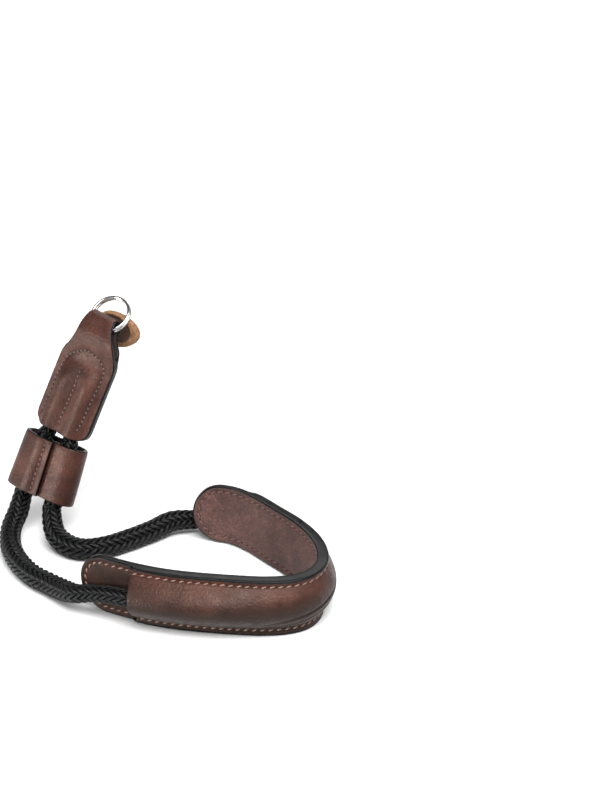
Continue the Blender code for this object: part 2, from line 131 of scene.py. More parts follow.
PAD_PLAN = [
    (-6.5, -69.5),
    (0.5, -74.2),
    (10.0, -79.0),
    (24.0, -83.9),
    (41.5, -87.0),
    (57.5, -88.2),
    (67.8, -85.8),
    (73.2, -79.4),
    (74.1, -71.2),
    (71.3, -61.3),
    (65.5, -51.5),
    (58.0, -42.7),
    (51.1, -34.8),
    (44.2, -29.2),
    (36.8, -26.7),
    (29.2, -26.2),
]
ROPE_LEFT_ROUTE = [
    (-34.6, -21.6, -68.2),
    (-36.4, -29.0, -71.2),
    (-35.4, -38.6, -72.3),
    (-31.4, -48.8, -72.4),
    (-25.2, -58.0, -72.4),
    (-18.2, -64.2, -72.3),
    (-12.8, -69.6, -71.3),
]
ROPE_RIGHT_ROUTE = [
    (21.4, -23.8, -71.2),
    (13.9, -29.0, -72.2),
    (6.1, -34.7, -72.4),
    (-1.6, -39.4, -72.4),
    (-9.4, -41.0, -72.4),
    (-16.0, -38.0, -71.8),
    (-20.4, -32.4, -70.2),
]
ROPE_FRONT_MOUTH = [(2.0, -3.6, 1.2), (8.0, -1.7, 0.3), (14.0, -0.4, 0.0)]
ROPE_BACK_MOUTH = [(2.0, -5.2, 1.4), (8.0, -2.6, 0.4), (14.0, -0.6, 0.0)]

# The cover's ends lie further in than in the part, with a bowed and slanted edge
COVER_END_DISTANCE = 21.5 * MM
COVER_END_BOW = 1.6 * MM
COVER_END_SLANT = 1.2 * MM

# Folds along the cover at the bend: height, depth and width in millimetres
COVER_FOLDS = [(-1.4, 0.80, 0.42), (-3.9, 0.65, 0.40)]
COVER_FOLD_CLIMB = 30.0 * MM
COVER_FOLD_LEAD = 0.04
LINING_CUSHION = 0.25 * MM

# The guard's face is worn from here outward, and its edge frays
GUARD_WORN_FROM = 0.70
GUARD_FRAY = 0.22 * MM
GUARD_BEVEL = 0.25 * MM

# The free rope swells a little once it leaves the slider and the pad
ROPE_FREE_R = 3.88 * MM
ROPE_MOUTH_R = 3.45 * MM

# Plait: twelve strands each way, each over three and under three
BRAID_STEPS = 610
BRAID_STRANDS = 12
BRAID_COLUMNS = 4
BRAID_PITCH = 31.0 * MM
BRAID_MIDDLE_R = 0.735
BRAID_WEAVE = 0.135
STRAND_WIDTH = 0.178
STRAND_THICK = 0.155
CORE_R = 0.62
STRAND_UV_STEP = 0.35
STRAND_UV_TURN = 2.1

# Mesh steps
GUARD_SIDES = 96
WIRE_STEPS = 300
WIRE_SIDES = 20
CORE_SIDES = 12
STRAND_SIDES = 6
THREAD_STEPS = 8
THREAD_SIDES = 8
HOLE_SIDES = 9
BEAD_SIDES = 14
RIM_STEPS = 5
TAB_STEPS = 76
TAB_FOLD_STEPS = 26
TAB_COLUMNS = 61
SLIDER_ROWS = 45
SLIDER_COLUMNS = 240
SLIDER_ROUNDS = 14
PAD_PATH_STEPS = 240
STRIP_ROWS = 221
STRIP_COLUMNS = 37
COVER_STEPS = 200
COVER_COLUMNS = 65
PAD_SEAM_STEPS = 720
PAD_BEAD_STEPS = 640

# Edges, seams and stitches
RIM_BULGE = 0.30 * MM
SEAM_DEPTH = 0.34 * MM
SEAM_WIDTH = 0.75 * MM
EASE_DEPTH = 0.12 * MM
EASE_WIDTH = 0.7 * MM
SLIDER_EASE_DEPTH = 0.15 * MM
SLIDER_EASE_WIDTH = 0.8 * MM
THREAD_D = 0.60 * MM
HOLE_D = 1.45 * MM
PAD_HOLE_D = 0.72 * MM
STITCH_PITCH = 1.75 * MM
STITCH_GAP = 0.72 * MM
STITCH_SLANT = 12.0
STITCH_UNEVEN_SLANT = 4.0
PAD_STITCH_SLANT = 21.0
PAD_STITCH_PITCH = 2.75 * MM
PAD_STITCH = (PAD_STITCH_PITCH, PAD_HOLE_D, PAD_STITCH_SLANT)
PAD_SEAM_INSET = 2.0 * MM
EDGE_DEPTH = 1.0 * MM
EDGE_BULGE = 0.22 * MM

# Seams of the tab: distance across and distance below the fold's crest, in millimetres
TAB_ARCH_SEAM = [
    (-9.5, 41.3),
    (-9.0, 32.0),
    (-9.0, 26.0),
    (-8.3, 19.8),
    (-6.4, 16.5),
    (-3.5, 14.4),
    (-1.4, 13.7),
    (1.6, 14.1),
    (4.3, 14.7),
    (7.0, 16.8),
    (8.4, 19.7),
    (8.5, 26.0),
    (8.2, 32.8),
    (8.0, 38.8),
    (7.4, 42.3),
]
TAB_DOME_FROM = 13.6 * MM
TAB_DOME_ROUND = 0.045
TAB_DOME_LENGTH = 13.0 * MM
TAB_VALLEY = 0.85 * MM
TAB_VALLEY_FROM = 19.0 * MM
TAB_VALLEY_LENGTH = 10.0 * MM
TAB_ROPE_HIDDEN = 2.0 * MM
TAB_LEAST_LEATHER = 0.5 * MM
TAB_LOBE_SIDE = 5.1 * MM
TAB_PAINT_FROM = 12.5 * MM
TAB_PAINT_STEP = 0.5 * MM
TAB_PAINT_ROUND = 0.028
TAB_SEAM_STEPS = 120
TAB_CENTRE_SEAM = [(-0.2, 21.2), (0.1, 28.0), (-0.1, 35.0), (-0.4, 42.6)]
SLIDER_SEAM_INSET = 2.7 * MM

# Camera of the photograph, which is taken as 600 by 800
CAMERA_PLACE = (67.4 * MM, -610.8 * MM, 277.1 * MM)
CAMERA_TILT = 63.0
PHOTO_HEIGHT = 800.0
FOCAL_PIXELS = 1882.7
SENSOR_HEIGHT = 32.0

# Stage
FLOOR_HALF = 4.0
FLOOR_BELOW = 0.4 * MM
FLOOR_TONES = (0.89, 0.92)
WORLD_STRENGTH = 0.20
WORLD_TONES = [(0.07, 4.2), (0.12, 0.02), (0.85, 1.0)]
LIGHT_AIM = (20 * MM, -50 * MM, -50 * MM)
AREA_LIGHTS = [
    ("key_light", (0.14, -0.46, 0.72), (0.90, 0.40), 7.5),
    ("side_strip", (-1.00, -0.58, 0.04), (0.42, 0.65), 17.0),
    ("fill_light", (0.65, -0.35, 0.40), (0.5, 0.5), 1.2),
    ("back_light", (0.10, 0.60, 0.55), (0.8, 0.4), 3.0),
]
OVERHEAD_STRENGTH = 2.0
OVERHEAD_SPREAD = 40.0
OVERHEAD_TURN = (26.0, 8.0, 0.0)

# Colours, each from dark over middle to light
BROWN = ((0.021, 0.0066, 0.0046), (0.044, 0.0148, 0.0102), (0.080, 0.0290, 0.0206))
BASE_BROWN = ((0.010, 0.0038, 0.0026), (0.022, 0.0085, 0.0056), (0.040, 0.013, 0.008))
GUARD_BROWN = ((0.030, 0.014, 0.009), (0.060, 0.030, 0.020), (0.14, 0.078, 0.054))
LINING_BROWN = ((0.030, 0.0110, 0.0086), (0.054, 0.0210, 0.0166), (0.088, 0.037, 0.030))
FLESH_BROWN = ((0.010, 0.005, 0.004), (0.020, 0.010, 0.008), (0.035, 0.018, 0.014))
RAW_TAN = ((0.070, 0.034, 0.016), (0.29, 0.145, 0.068), (0.52, 0.30, 0.165))
# Near black discs in the stitch holes: painted shade of the holes
HOLE_SHADE_BROWN = ((0.006, 0.003, 0.0025), (0.012, 0.006, 0.005), (0.024, 0.012, 0.010))
EDGE_BLACK = ((0.0015, 0.0015, 0.0017), (0.008, 0.007, 0.007))
RIM_BROWN = ((0.016, 0.008, 0.006), (0.05, 0.026, 0.020))
CORD_BLACK = ((0.0008, 0.0008, 0.0009), (0.010, 0.0104, 0.0112))
CORE_BLACK = ((0.001, 0.001, 0.001), (0.002, 0.002, 0.002))
TAB_THREAD = ((0.022, 0.0090, 0.0080), (0.20, 0.118, 0.104))
LINING_THREAD = ((0.040, 0.015, 0.012), (0.20, 0.090, 0.072))
PAD_THREAD = ((0.090, 0.045, 0.032), (0.38, 0.225, 0.165))
STEEL_GREY = ((0.42, 0.42, 0.42), (0.66, 0.66, 0.65))
SHEEN_TINT = (0.75, 0.55, 0.48, 1.0)
GLOSS_TINT = (1.0, 0.80, 0.70, 1.0)

# Painted shade: the cover's colour darkens towards the bottom between these heights, down to this share of
# its colour, standing in for the shade on the lower half of its bulge
PAINTED_SHADE_HEIGHTS = (-65.5 * MM, -59.5 * MM)
PAINTED_SHADE_DARK = 0.22


def smoothstep(value):
    value = min(max(value, 0.0), 1.0)
    return value * value * (3.0 - 2.0 * value)


def blend(start, end, share):
    return start + (end - start) * share


def smooth_path(points, count):
    """Evenly spaced points on a Catmull-Rom curve through the given ones."""
    padded = [points[0] * 2 - points[1], *points, points[-1] * 2 - points[-2]]
    fine = []
    for index in range(len(points) - 1):
        p0, p1, p2, p3 = padded[index : index + 4]
        for step in range(24):
            t = step / 24.0
            fine.append(
                0.5
                * (
                    2 * p1
                    + (p2 - p0) * t
                    + (2 * p0 - 5 * p1 + 4 * p2 - p3) * t**2
                    + (3 * p1 - p0 - 3 * p2 + p3) * t**3
                )
            )
    fine.append(points[-1].copy())
    return resample(fine, count)


def resample(fine, count):
    lengths = walked_lengths(fine)
    spaced = []
    index = 0
    for step in range(count):
        wanted = lengths[-1] * step / (count - 1)
        while index < len(fine) - 2 and lengths[index + 1] < wanted:
            index += 1
        share = (wanted - lengths[index]) / (lengths[index + 1] - lengths[index])
        spaced.append(fine[index].lerp(fine[index + 1], min(max(share, 0.0), 1.0)))
    return spaced


def directions(points, reach=1):
    """Direction of a line of points at each of them."""
    last = len(points) - 1
    spots = range(len(points))
    return [(points[min(i + reach, last)] - points[max(i - reach, 0)]).normalized() for i in spots]


def walked_lengths(points):
    lengths = [0.0]
    for before, after in zip(points, points[1:]):
        lengths.append(lengths[-1] + (after - before).length)
    return lengths


def steps(count):
    """Even shares from 0 to 1, both included."""
    return [step / count for step in range(count + 1)]


def circle(centre, side, up, count):
    """Points round a centre, from two half axes."""
    turns = [math.tau * corner / count for corner in range(count)]
    return [centre + side * math.cos(turn) + up * math.sin(turn) for turn in turns]


def path_length(points):
    return sum((after - before).length for before, after in zip(points, points[1:]))


def even_spread(count):
    return [2.0 * step / (count - 1) - 1.0 for step in range(count)]


def edge_spread(count):
    """Positions from -1 to 1 that crowd towards both edges."""
    return [math.sin(math.pi * (step / (count - 1) - 0.5)) for step in range(count)]


def mixed_spread(count, share):
    return [blend(a, b, share) for a, b in zip(even_spread(count), edge_spread(count))]


# Meshes


def mesh_object(name, points, faces, skins, indices=None):
    mesh = bpy.data.meshes.new(name)
    mesh.from_pydata([tuple(p) for p in points], [], faces)
    for skin in skins:
        mesh.materials.append(skin)
    if indices:
        mesh.polygons.foreach_set("material_index", indices)
    mesh.shade_smooth()
    mesh.update()
    made = bpy.data.objects.new(name, mesh)
    bpy.context.scene.collection.objects.link(made)
    return made


class Solid:
    """Closed tubes gathered into one mesh."""

    def __init__(self):
        self.points = []
        self.faces = []
        self.indices = []

    def rings(self, rings, closed=False, index=0):
        """Joins rings of points into a tube, with caps unless its ends meet."""
        first = len(self.points)
        sides = len(rings[0])
        for ring in rings:
            self.points.extend(ring)
        faces = []
        spans = len(rings) if closed else len(rings) - 1
        for span in range(spans):
            low = first + span * sides
            high = first + (span + 1) % len(rings) * sides
            for side in range(sides):
                nearby = (side + 1) % sides
                faces.append((low + side, low + nearby, high + nearby, high + side))
        if not closed:
            last = first + (len(rings) - 1) * sides
            faces.append(tuple(first + side for side in reversed(range(sides))))
            faces.append(tuple(last + side for side in range(sides)))
        if self.inward(rings):
            faces = [tuple(reversed(face)) for face in faces]
        self.faces += faces
        self.indices += [index] * (len(self.faces) - len(self.indices))

    def inward(self, rings):
        """Whether faces along these rings would look into the tube."""
        here, there = rings[(len(rings) - 1) // 2 : (len(rings) - 1) // 2 + 2]
        centre = sum(here, Vector()) / len(here)
        ahead = sum(there, Vector()) / len(there) - centre
        turned = here[1:] + here[:1]
        area = sum(((a - centre).cross(b - centre) for a, b in zip(here, turned)), Vector())
        return area.dot(ahead) < 0

    def object(self, name, skins):
        return mesh_object(name, self.points, self.faces, skins, self.indices)


class Sheet:
    """A piece of leather over a grid of point(u, v), its inner face.

    The outer face lies a thickness above it, or is thickness(u, v) itself. Rounds smooth the
    outer face along v, and the reliefs move both faces outward at the end.
    """

    def __init__(self, us, vs, point, thickness, outer_relief=None, inner_relief=None, rounds=0):
        self.us = us
        self.vs = vs
        self.inner = [[point(u, v) for v in vs] for u in us]
        self.normals = self.grid_normals(self.inner)
        if callable(thickness):
            self.outer = [[thickness(u, v) for v in vs] for u in us]
            self.normals = self.grid_normals(self.outer)
        else:
            self.outer = []
            for places, normals in zip(self.inner, self.normals):
                line = [place + normal * thickness for place, normal in zip(places, normals)]
                for _ in range(rounds):
                    line[1:-1] = [(a + 2 * b + c) / 4 for a, b, c in zip(line, line[1:], line[2:])]
                self.outer.append(line)
        if rounds:
            self.normals = self.grid_normals(self.outer)
        for grid, relief, way in ((self.outer, outer_relief, 1), (self.inner, inner_relief, -1)):
            if relief:
                for row, u in enumerate(us):
                    for column, v in enumerate(vs):
                        grid[row][column] += self.normals[row][column] * relief(u, v) * way

    def grid_normals(self, grid):
        rows = len(self.us)
        columns = len(self.vs)
        normals = []
        for row in range(rows):
            above = grid[min(row + 1, rows - 1)]
            below = grid[max(row - 1, 0)]
            line = []
            for column in range(columns):
                right = grid[row][min(column + 1, columns - 1)]
                left = grid[row][max(column - 1, 0)]
                line.append((right - left).cross(above[column] - below[column]).normalized())
            normals.append(line)
        return normals

    def find(self, values, value):
        index = min(max(bisect.bisect_right(values, value) - 1, 0), len(values) - 2)
        share = (value - values[index]) / (values[index + 1] - values[index])
        return index, min(max(share, 0.0), 1.0)

    def sample(self, grid, u, v):
        row, up = self.find(self.us, u)
        column, side = self.find(self.vs, v)
        low = grid[row][column].lerp(grid[row][column + 1], side)
        high = grid[row + 1][column].lerp(grid[row + 1][column + 1], side)
        return low.lerp(high, up)

    def on_outer(self, u, v):
        return self.sample(self.outer, u, v), self.sample(self.normals, u, v).normalized()

    def on_inner(self, u, v):
        return self.sample(self.inner, u, v), -self.sample(self.normals, u, v).normalized()

    def object(self, name, face_skin, rim_skin, back_skin):
        rows = len(self.us)
        columns = len(self.vs)
        points = []
        faces = []
        indices = []
        for line in self.outer + self.inner:
            points.extend(line)
        back = rows * columns
        for row in range(rows - 1):
            for column in range(columns - 1):
                a = row * columns + column
                quad = (a, a + 1, a + columns + 1, a + columns)
                faces.append(quad)
                indices.append(0)
                faces.append(tuple(back + corner for corner in reversed(quad)))
                indices.append(2)
        border = [(0, c) for c in range(columns)]
        border += [(r, columns - 1) for r in range(1, rows)]
        border += [(rows - 1, c) for c in range(columns - 2, -1, -1)]
        border += [(r, 0) for r in range(rows - 2, 0, -1)]
        arc = [math.pi * share for share in steps(RIM_STEPS)[1:-1]]
        first = len(points)
        for spot, (row, column) in enumerate(border):
            before = border[spot - 1]
            after = border[(spot + 1) % len(border)]
            top = self.outer[row][column]
            bottom = self.inner[row][column]
            edge = self.outer[after[0]][after[1]] - self.outer[before[0]][before[1]]
            out = edge.cross(self.normals[row][column]).normalized()
            middle = (top + bottom) / 2
            half = (top - bottom) / 2
            for angle in arc:
                points.append(middle + half * math.cos(angle) + out * RIM_BULGE * math.sin(angle))
        for spot, (row, column) in enumerate(border):
            later = (spot + 1) % len(border)
            here = row * columns + column
            there = border[later][0] * columns + border[later][1]
            mine = [here] + [first + spot * len(arc) + k for k in range(len(arc))] + [back + here]
            other = [there] + [first + later * len(arc) + k for k in range(len(arc))] + [back + there]
            for k in range(RIM_STEPS):
                faces.append((other[k], mine[k], mine[k + 1], other[k + 1]))
                indices.append(1)
        return mesh_object(name, points, faces, [face_skin, rim_skin, back_skin], indices)


def near_line(line, x, y):
    """Distance of a point from a line of points in the flat."""
    nearest = 1.0
    for (ax, ay), (bx, by) in zip(line, line[1:]):
        dx = bx - ax
        dy = by - ay
        share = ((x - ax) * dx + (y - ay) * dy) / (dx * dx + dy * dy)
        share = min(max(share, 0.0), 1.0)
        nearest = min(nearest, math.hypot(x - ax - dx * share, y - ay - dy * share))
    return nearest


def hump(distance, width):
    return math.exp(-((distance / width) ** 2))


def groove(distance):
    return -SEAM_DEPTH * hump(distance, SEAM_WIDTH)


def stitch_row(solid, places, pitch, hole_shade=HOLE_D, lean=STITCH_SLANT):
    """Stitches along a line of (point, normal) pairs on a surface, each sunk at both ends."""
    lengths = walked_lengths([place[0] for place in places])

    def at(distance):
        index = min(max(bisect.bisect_right(lengths, distance) - 1, 0), len(lengths) - 2)
        share = (distance - lengths[index]) / (lengths[index + 1] - lengths[index])
        point = places[index][0].lerp(places[index + 1][0], share)
        normal = places[index][1].lerp(places[index + 1][1], share).normalized()
        return point, normal

    count = max(int(round(lengths[-1] / pitch)), 1)
    spacing = lengths[-1] / count
    for number in range(count + 1):
        point, up = at(min(number * spacing, lengths[-1] * 0.999))
        side = up.orthogonal().normalized()
        other = up.cross(side)
        rings = []
        uneven = random.uniform(0.8, 1.15)
        # A near black disc in each stitch hole: painted shade of the hole under the thread
        for size, rise in ((0.6, -0.12), (1.0, -0.03), (0.8, 0.03), (0.3, 0.05)):
            reach = hole_shade / 2 * size * uneven
            rings.append(circle(point + up * rise * MM, side * reach, other * reach, HOLE_SIDES))
        solid.rings(rings, index=1)
    for number in range(count):
        start = number * spacing + STITCH_GAP / 2
        finish = (number + 1) * spacing - STITCH_GAP / 2
        middle, normal = at((start + finish) / 2)
        first, _ = at(start)
        last, _ = at(finish)
        along = (last - first).normalized()
        slant = lean + random.uniform(-STITCH_UNEVEN_SLANT, STITCH_UNEVEN_SLANT)
        turn = Matrix.Rotation(math.radians(slant), 3, normal)
        rings = []
        for share in steps(THREAD_STEPS):
            swell = math.sin(math.pi * share)
            point, up = at(blend(start, finish, share))
            offset = turn @ (point - middle) + middle
            lift = up * (THREAD_D * (0.62 * swell**0.6 - 0.42))
            radius = THREAD_D / 2 * (0.55 + 0.45 * swell**0.5)
            side = up.cross(along).normalized()
            rings.append(circle(offset + lift, side * radius, up * radius * 0.85, THREAD_SIDES))
        solid.rings(rings)


def bead(solid, places, closed, way, inset):
    """Painted edge: (middle, layer direction, half height, size) per step, on the way's side."""
    rings = []
    line = [place[0] for place in places]
    for index, (_, layer, half, size) in enumerate(places):
        before = line[index - 1 if index or closed else 0]
        after = line[(index + 1) % len(line) if closed else min(index + 1, len(line) - 1)]
        out = (after - before).cross(layer).normalized() * way
        line[index] = middle = line[index] - out * inset
        ring = []
        for corner in range(BEAD_SIDES):
            angle = math.tau * corner / BEAD_SIDES
            up = math.copysign(abs(math.cos(angle)) ** 0.5, math.cos(angle))
            side = math.copysign(abs(math.sin(angle)) ** 0.7, math.sin(angle))
            ring.append(middle + layer * half * up * size + out * EDGE_DEPTH / 2 * side * size)
        rings.append(ring)
    solid.rings(rings, closed)


# Materials


class Skin:
    """A node material: short calls that add a node and link what feeds it."""

    def __init__(self, name):
        self.material = bpy.data.materials.new(name)
        self.material.use_nodes = True
        self.tree = self.material.node_tree
        self.shader = self.tree.nodes["Principled BSDF"]
        self.where = self.tree.nodes.new("ShaderNodeTexCoord").outputs["Object"]

    def feed(self, socket, value):
        if isinstance(value, bpy.types.NodeSocket):
            self.tree.links.new(value, socket)
        else:
            socket.default_value = value

    def node(self, kind, inputs, **settings):
        made = self.tree.nodes.new(kind)
        for name, value in settings.items():
            setattr(made, name, value)
        for name, value in inputs.items():
            self.feed(made.inputs[name], value)
        return made

    def noise(self, scale, detail, rough, distortion=0.0):
        inputs = {"Vector": self.where, "Scale": scale, "Detail": detail}
        inputs.update({"Roughness": rough, "Distortion": distortion})
        return self.node("ShaderNodeTexNoise", inputs).outputs["Fac"]

    def cells(self, scale, feature="F1"):
        inputs = {"Vector": self.where, "Scale": scale}
        return self.node("ShaderNodeTexVoronoi", inputs, feature=feature).outputs["Distance"]

    def range(self, value, low, high, to_low, to_high):
        inputs = {"Value": value, 1: low, 2: high, 3: to_low, 4: to_high}
        return self.node("ShaderNodeMapRange", inputs).outputs[0]

    def math(self, operation, a, b):
        return self.node("ShaderNodeMath", {0: a, 1: b}, operation=operation).outputs[0]

    def ramp(self, value, stops):
        made = self.node("ShaderNodeValToRGB", {"Fac": value})
        stops = list(stops)
        ramp = made.color_ramp
        while len(ramp.elements) < len(stops):
            ramp.elements.new(0.5)
        for element, (place, color) in zip(ramp.elements, stops):
            element.position = place
            element.color = (*color, 1.0)
        return made.outputs["Color"]

    def mix(self, share, a, b, blend_type="MIX"):
        made = self.node("ShaderNodeMix", {}, data_type="RGBA", blend_type=blend_type)
        for name, value in (("Factor", share), (6, a), (7, b)):
            self.feed(made.inputs[name], value)
        return made.outputs[2]

    def shaded(self, color, shade):
        """The colour times a grey."""
        grey = self.node("ShaderNodeCombineColor", {0: shade, 1: shade, 2: shade}).outputs[0]
        return self.mix(1.0, color, grey, "MULTIPLY")

    def bump(self, height, strength, distance, below=None):
        inputs = {"Height": height, "Strength": strength, "Distance": distance}
        if below is not None:
            inputs["Normal"] = below
        return self.node("ShaderNodeBump", inputs).outputs[0]

    def finish(self, **inputs):
        for name, value in inputs.items():
            self.feed(self.shader.inputs[name.replace("_", " ")], value)
        return self.material


def smooth_leather(name, tones, gloss, painted_shade=None):
    """Vegetable tanned leather: mottled dye, fine pores, hairline creases, and where heights are given,
    painted shade darker towards the bottom.
    """
    skin = Skin(name)
    dye = skin.noise(95.0, 5.0, 0.62, 0.4)
    color = skin.ramp(dye, zip((0.30, 0.50, 0.72), tones))
    speckle = skin.noise(1500.0, 3.0, 0.7)
    color = skin.shaded(color, skin.range(speckle, 0.30, 0.72, 0.72, 1.26))
    if painted_shade:
        # Painted shade: the colour darkens towards the bottom of the piece, by height
        high = skin.node("ShaderNodeSeparateXYZ", {0: skin.where}).outputs["Z"]
        color = skin.shaded(color, skin.range(high, *painted_shade, PAINTED_SHADE_DARK, 1.0))
    pores = skin.cells(1250.0, "SMOOTH_F1")
    creases = skin.cells(640.0, "DISTANCE_TO_EDGE")
    color = skin.mix(0.6, color, skin.shaded(color, skin.range(creases, 0.0, 0.10, 0.80, 1.0)))
    height = skin.range(pores, 0.0, 0.7, 0.0, 0.9)
    height = skin.math("ADD", height, skin.range(creases, 0.0, 0.12, 0.0, 0.25))
    height = skin.math("ADD", height, skin.range(speckle, 0.2, 0.8, 0.0, 0.35))
    soft = skin.bump(dye, 0.25, 0.9 * MM)
    normal = skin.bump(height, 0.55, 0.16 * MM, soft)
    rough = skin.range(skin.noise(260.0, 4.0, 0.6), 0.3, 0.7, gloss - 0.07, gloss + 0.12)
    skin.finish(Specular_Tint=GLOSS_TINT, Specular_IOR_Level=0.36)
    return skin.finish(Base_Color=color, Roughness=rough, Normal=normal)


def suede_leather(name, tones):
    """Lining with a short nap."""
    skin = Skin(name)
    patch = skin.noise(120.0, 4.0, 0.6, 0.6)
    color = skin.ramp(patch, zip((0.28, 0.50, 0.74), tones))
    nap = skin.noise(1300.0, 4.0, 0.75)
    color = skin.shaded(color, skin.range(nap, 0.36, 0.64, 0.40, 1.65))
    normal = skin.bump(nap, 0.45, 0.18 * MM)
    skin.finish(Sheen_Weight=0.12, Sheen_Roughness=0.5, Sheen_Tint=SHEEN_TINT)
    return skin.finish(Base_Color=color, Roughness=0.82, Normal=normal)


def raw_leather(name, tones):
    """Cut edge or flesh side: loose fibres. With near black tones it is also the painted shade in the
    stitch holes.
    """
    skin = Skin(name)
    fibres = skin.noise(900.0, 5.0, 0.75, 1.2)
    color = skin.ramp(fibres, zip((0.30, 0.52, 0.74), tones))
    pits = skin.cells(520.0)
    height = skin.math("ADD", fibres, skin.range(pits, 0.0, 0.6, 0.0, 0.8))
    normal = skin.bump(height, 0.8, 0.35 * MM)
    return skin.finish(Base_Color=color, Roughness=0.88, Normal=normal)


def edge_paint(name, tones):
    """Thick dark paint burnished over the cut edges."""
    skin = Skin(name)
    color, worn = tones
    smear = skin.noise(300.0, 4.0, 0.6)
    paint = skin.ramp(smear, [(0.35, color), (0.62, color), (0.85, worn)])
    ripple = skin.noise(700.0, 3.0, 0.6)
    normal = skin.bump(ripple, 0.25, 0.15 * MM)
    rough = skin.range(smear, 0.3, 0.7, 0.24, 0.42)
    return skin.finish(Base_Color=paint, Roughness=rough, Normal=normal, Specular_IOR_Level=0.20)


def cord_strand(name, tones):
    """Waxed polyester strand: near black, with fine filaments along it."""
    skin = Skin(name)
    along = skin.node("ShaderNodeUVMap", {}, uv_map="strand").outputs[0]
    wave = skin.node(
        "ShaderNodeTexWave",
        {"Vector": along, "Scale": 1.0, "Distortion": 1.5, "Detail": 2.0, "Detail Scale": 2.0},
        bands_direction="DIAGONAL",
    ).outputs["Fac"]
    fuzz = skin.noise(2200.0, 3.0, 0.7)
    color = skin.ramp(skin.math("MULTIPLY", wave, fuzz), zip((0.10, 0.60), tones))
    height = skin.math("ADD", wave, skin.range(fuzz, 0.3, 0.7, 0.0, 0.5))
    normal = skin.bump(height, 0.35, 0.10 * MM)
    rough = skin.range(fuzz, 0.3, 0.7, 0.26, 0.38)
    return skin.finish(Base_Color=color, Roughness=rough, Normal=normal, Specular_IOR_Level=0.20)


def thread_skin(name, tones):
    skin = Skin(name)
    ply = skin.noise(2600.0, 3.0, 0.7)
    color = skin.ramp(ply, zip((0.30, 0.70), tones))
    normal = skin.bump(ply, 0.5, 0.12 * MM)
    return skin.finish(Base_Color=color, Roughness=0.55, Normal=normal)


def steel_skin(name):
    skin = Skin(name)
    brushed = skin.noise(420.0, 5.0, 0.7)
    color = skin.ramp(brushed, zip((0.30, 0.70), STEEL_GREY))
    rough = skin.range(brushed, 0.3, 0.7, 0.10, 0.26)
    scratches = skin.noise(1800.0, 3.0, 0.7)
    normal = skin.bump(scratches, 0.12, 0.05 * MM)
    return skin.finish(Base_Color=color, Roughness=rough, Normal=normal, Metallic=1.0)


# The head tab and its frame


def tab_hinge_depth():
    return TAB_LOOP_R + TAB_LEATHER


def strap_frame_matrix():
    """Frame of the tab: +X across, +Y away, +Z up the tab, the ring's hinge at z 0."""
    up = Vector((math.tan(math.radians(TAB_LEAN_SIDE)), math.tan(math.radians(TAB_LEAN_BACK)), 1.0))
    up.normalize()
    front = Vector((0.0, -1.0, 0.0))
    front = (front - up * front.dot(up)).normalized()
    front = Matrix.Rotation(math.radians(-TAB_TURN), 3, up) @ front
    across = up.cross(front)
    turn = Matrix((across, -front, up)).transposed()
    origin = -ring_axes(turn)[1] * RING_HINGE_DROP - across * TAB_NECK_SHIFT
    return Matrix.Translation(origin) @ turn.to_4x4()


def ring_axes(turn):
    """Hinge direction, up direction and face direction of the ring in the world."""
    hinge = turn @ (Matrix.Rotation(math.radians(-TAB_TWIST), 3, "Z") @ Vector((1.0, 0.0, 0.0)))
    tab_up = turn @ Vector((0.0, 0.0, 1.0))
    up = Matrix.Rotation(math.radians(-RING_SWING), 3, hinge) @ tab_up
    return hinge, up, hinge.cross(up)


def tab_half_width(depth):
    share = smoothstep(depth / TAB_SHOULDER)
    return blend(TAB_CREST_WIDTH, TAB_BODY_WIDTH, share) / 2 - RIM_BULGE


TAB_RIDGE = ROPE_D / 2 * ROPE_TAB_SQUEEZE + SEAT_GAP


def tab_loop(drop):
    """Half of the space between the two layers beside the ropes."""
    return blend(TAB_LOOP_R, SEAT_GAP / 2, smoothstep((drop - TAB_LOOP_LENGTH) / TAB_CLOSE_LENGTH))


def tab_gap(x, drop):
    """Half of the space between the two layers, at x across and a drop below the hinge."""
    half_space = ROPE_TAB_SPACING / 2
    offset = abs(abs(x) - half_space) / (half_space * 0.98)
    ridge = TAB_RIDGE * math.cos(math.pi / 2 * min(offset, 1.7))
    ridge = (ridge + math.hypot(ridge, TAB_CREASE)) / 2
    start = TAB_ROPE_START - tab_hinge_depth()
    return tab_loop(drop) + ridge * smoothstep((drop - start + TAB_ROPE_FADE) / TAB_ROPE_FADE)


def neck_line(drop):
    steep = math.tan(math.radians(RING_SWING))
    step = 0.01 * MM
    bow = [-steep * d * (1 - smoothstep(d / TAB_NECK_LENGTH)) for d in (drop, drop + step)]
    return bow[0], (bow[1] - bow[0]) / step


def neck_set(point, drop):
    share = 1 - smoothstep(drop / TAB_NECK_LENGTH)
    turned = Matrix.Rotation(math.radians(-TAB_TWIST) * share, 3, "Z") @ point
    fade = 1 - smoothstep((drop - TAB_SWAY_AT) / (TAB_NECK_LENGTH - TAB_SWAY_AT))
    sway = TAB_NECK_SWAY * smoothstep(drop / TAB_SWAY_AT) * fade
    return turned + Vector((TAB_NECK_SHIFT * share + sway, 0.0, 0.0))


def tab_corner(across):
    over = abs(across) * TAB_BODY_WIDTH / 2 - (TAB_BODY_WIDTH / 2 - TAB_CORNER_R)
    if over <= 0:
        return 0.0
    return TAB_CORNER_R - math.sqrt(max(TAB_CORNER_R**2 - over**2, 0.0))


TAB_BELOW = TAB_LENGTH - tab_hinge_depth() - RIM_BULGE


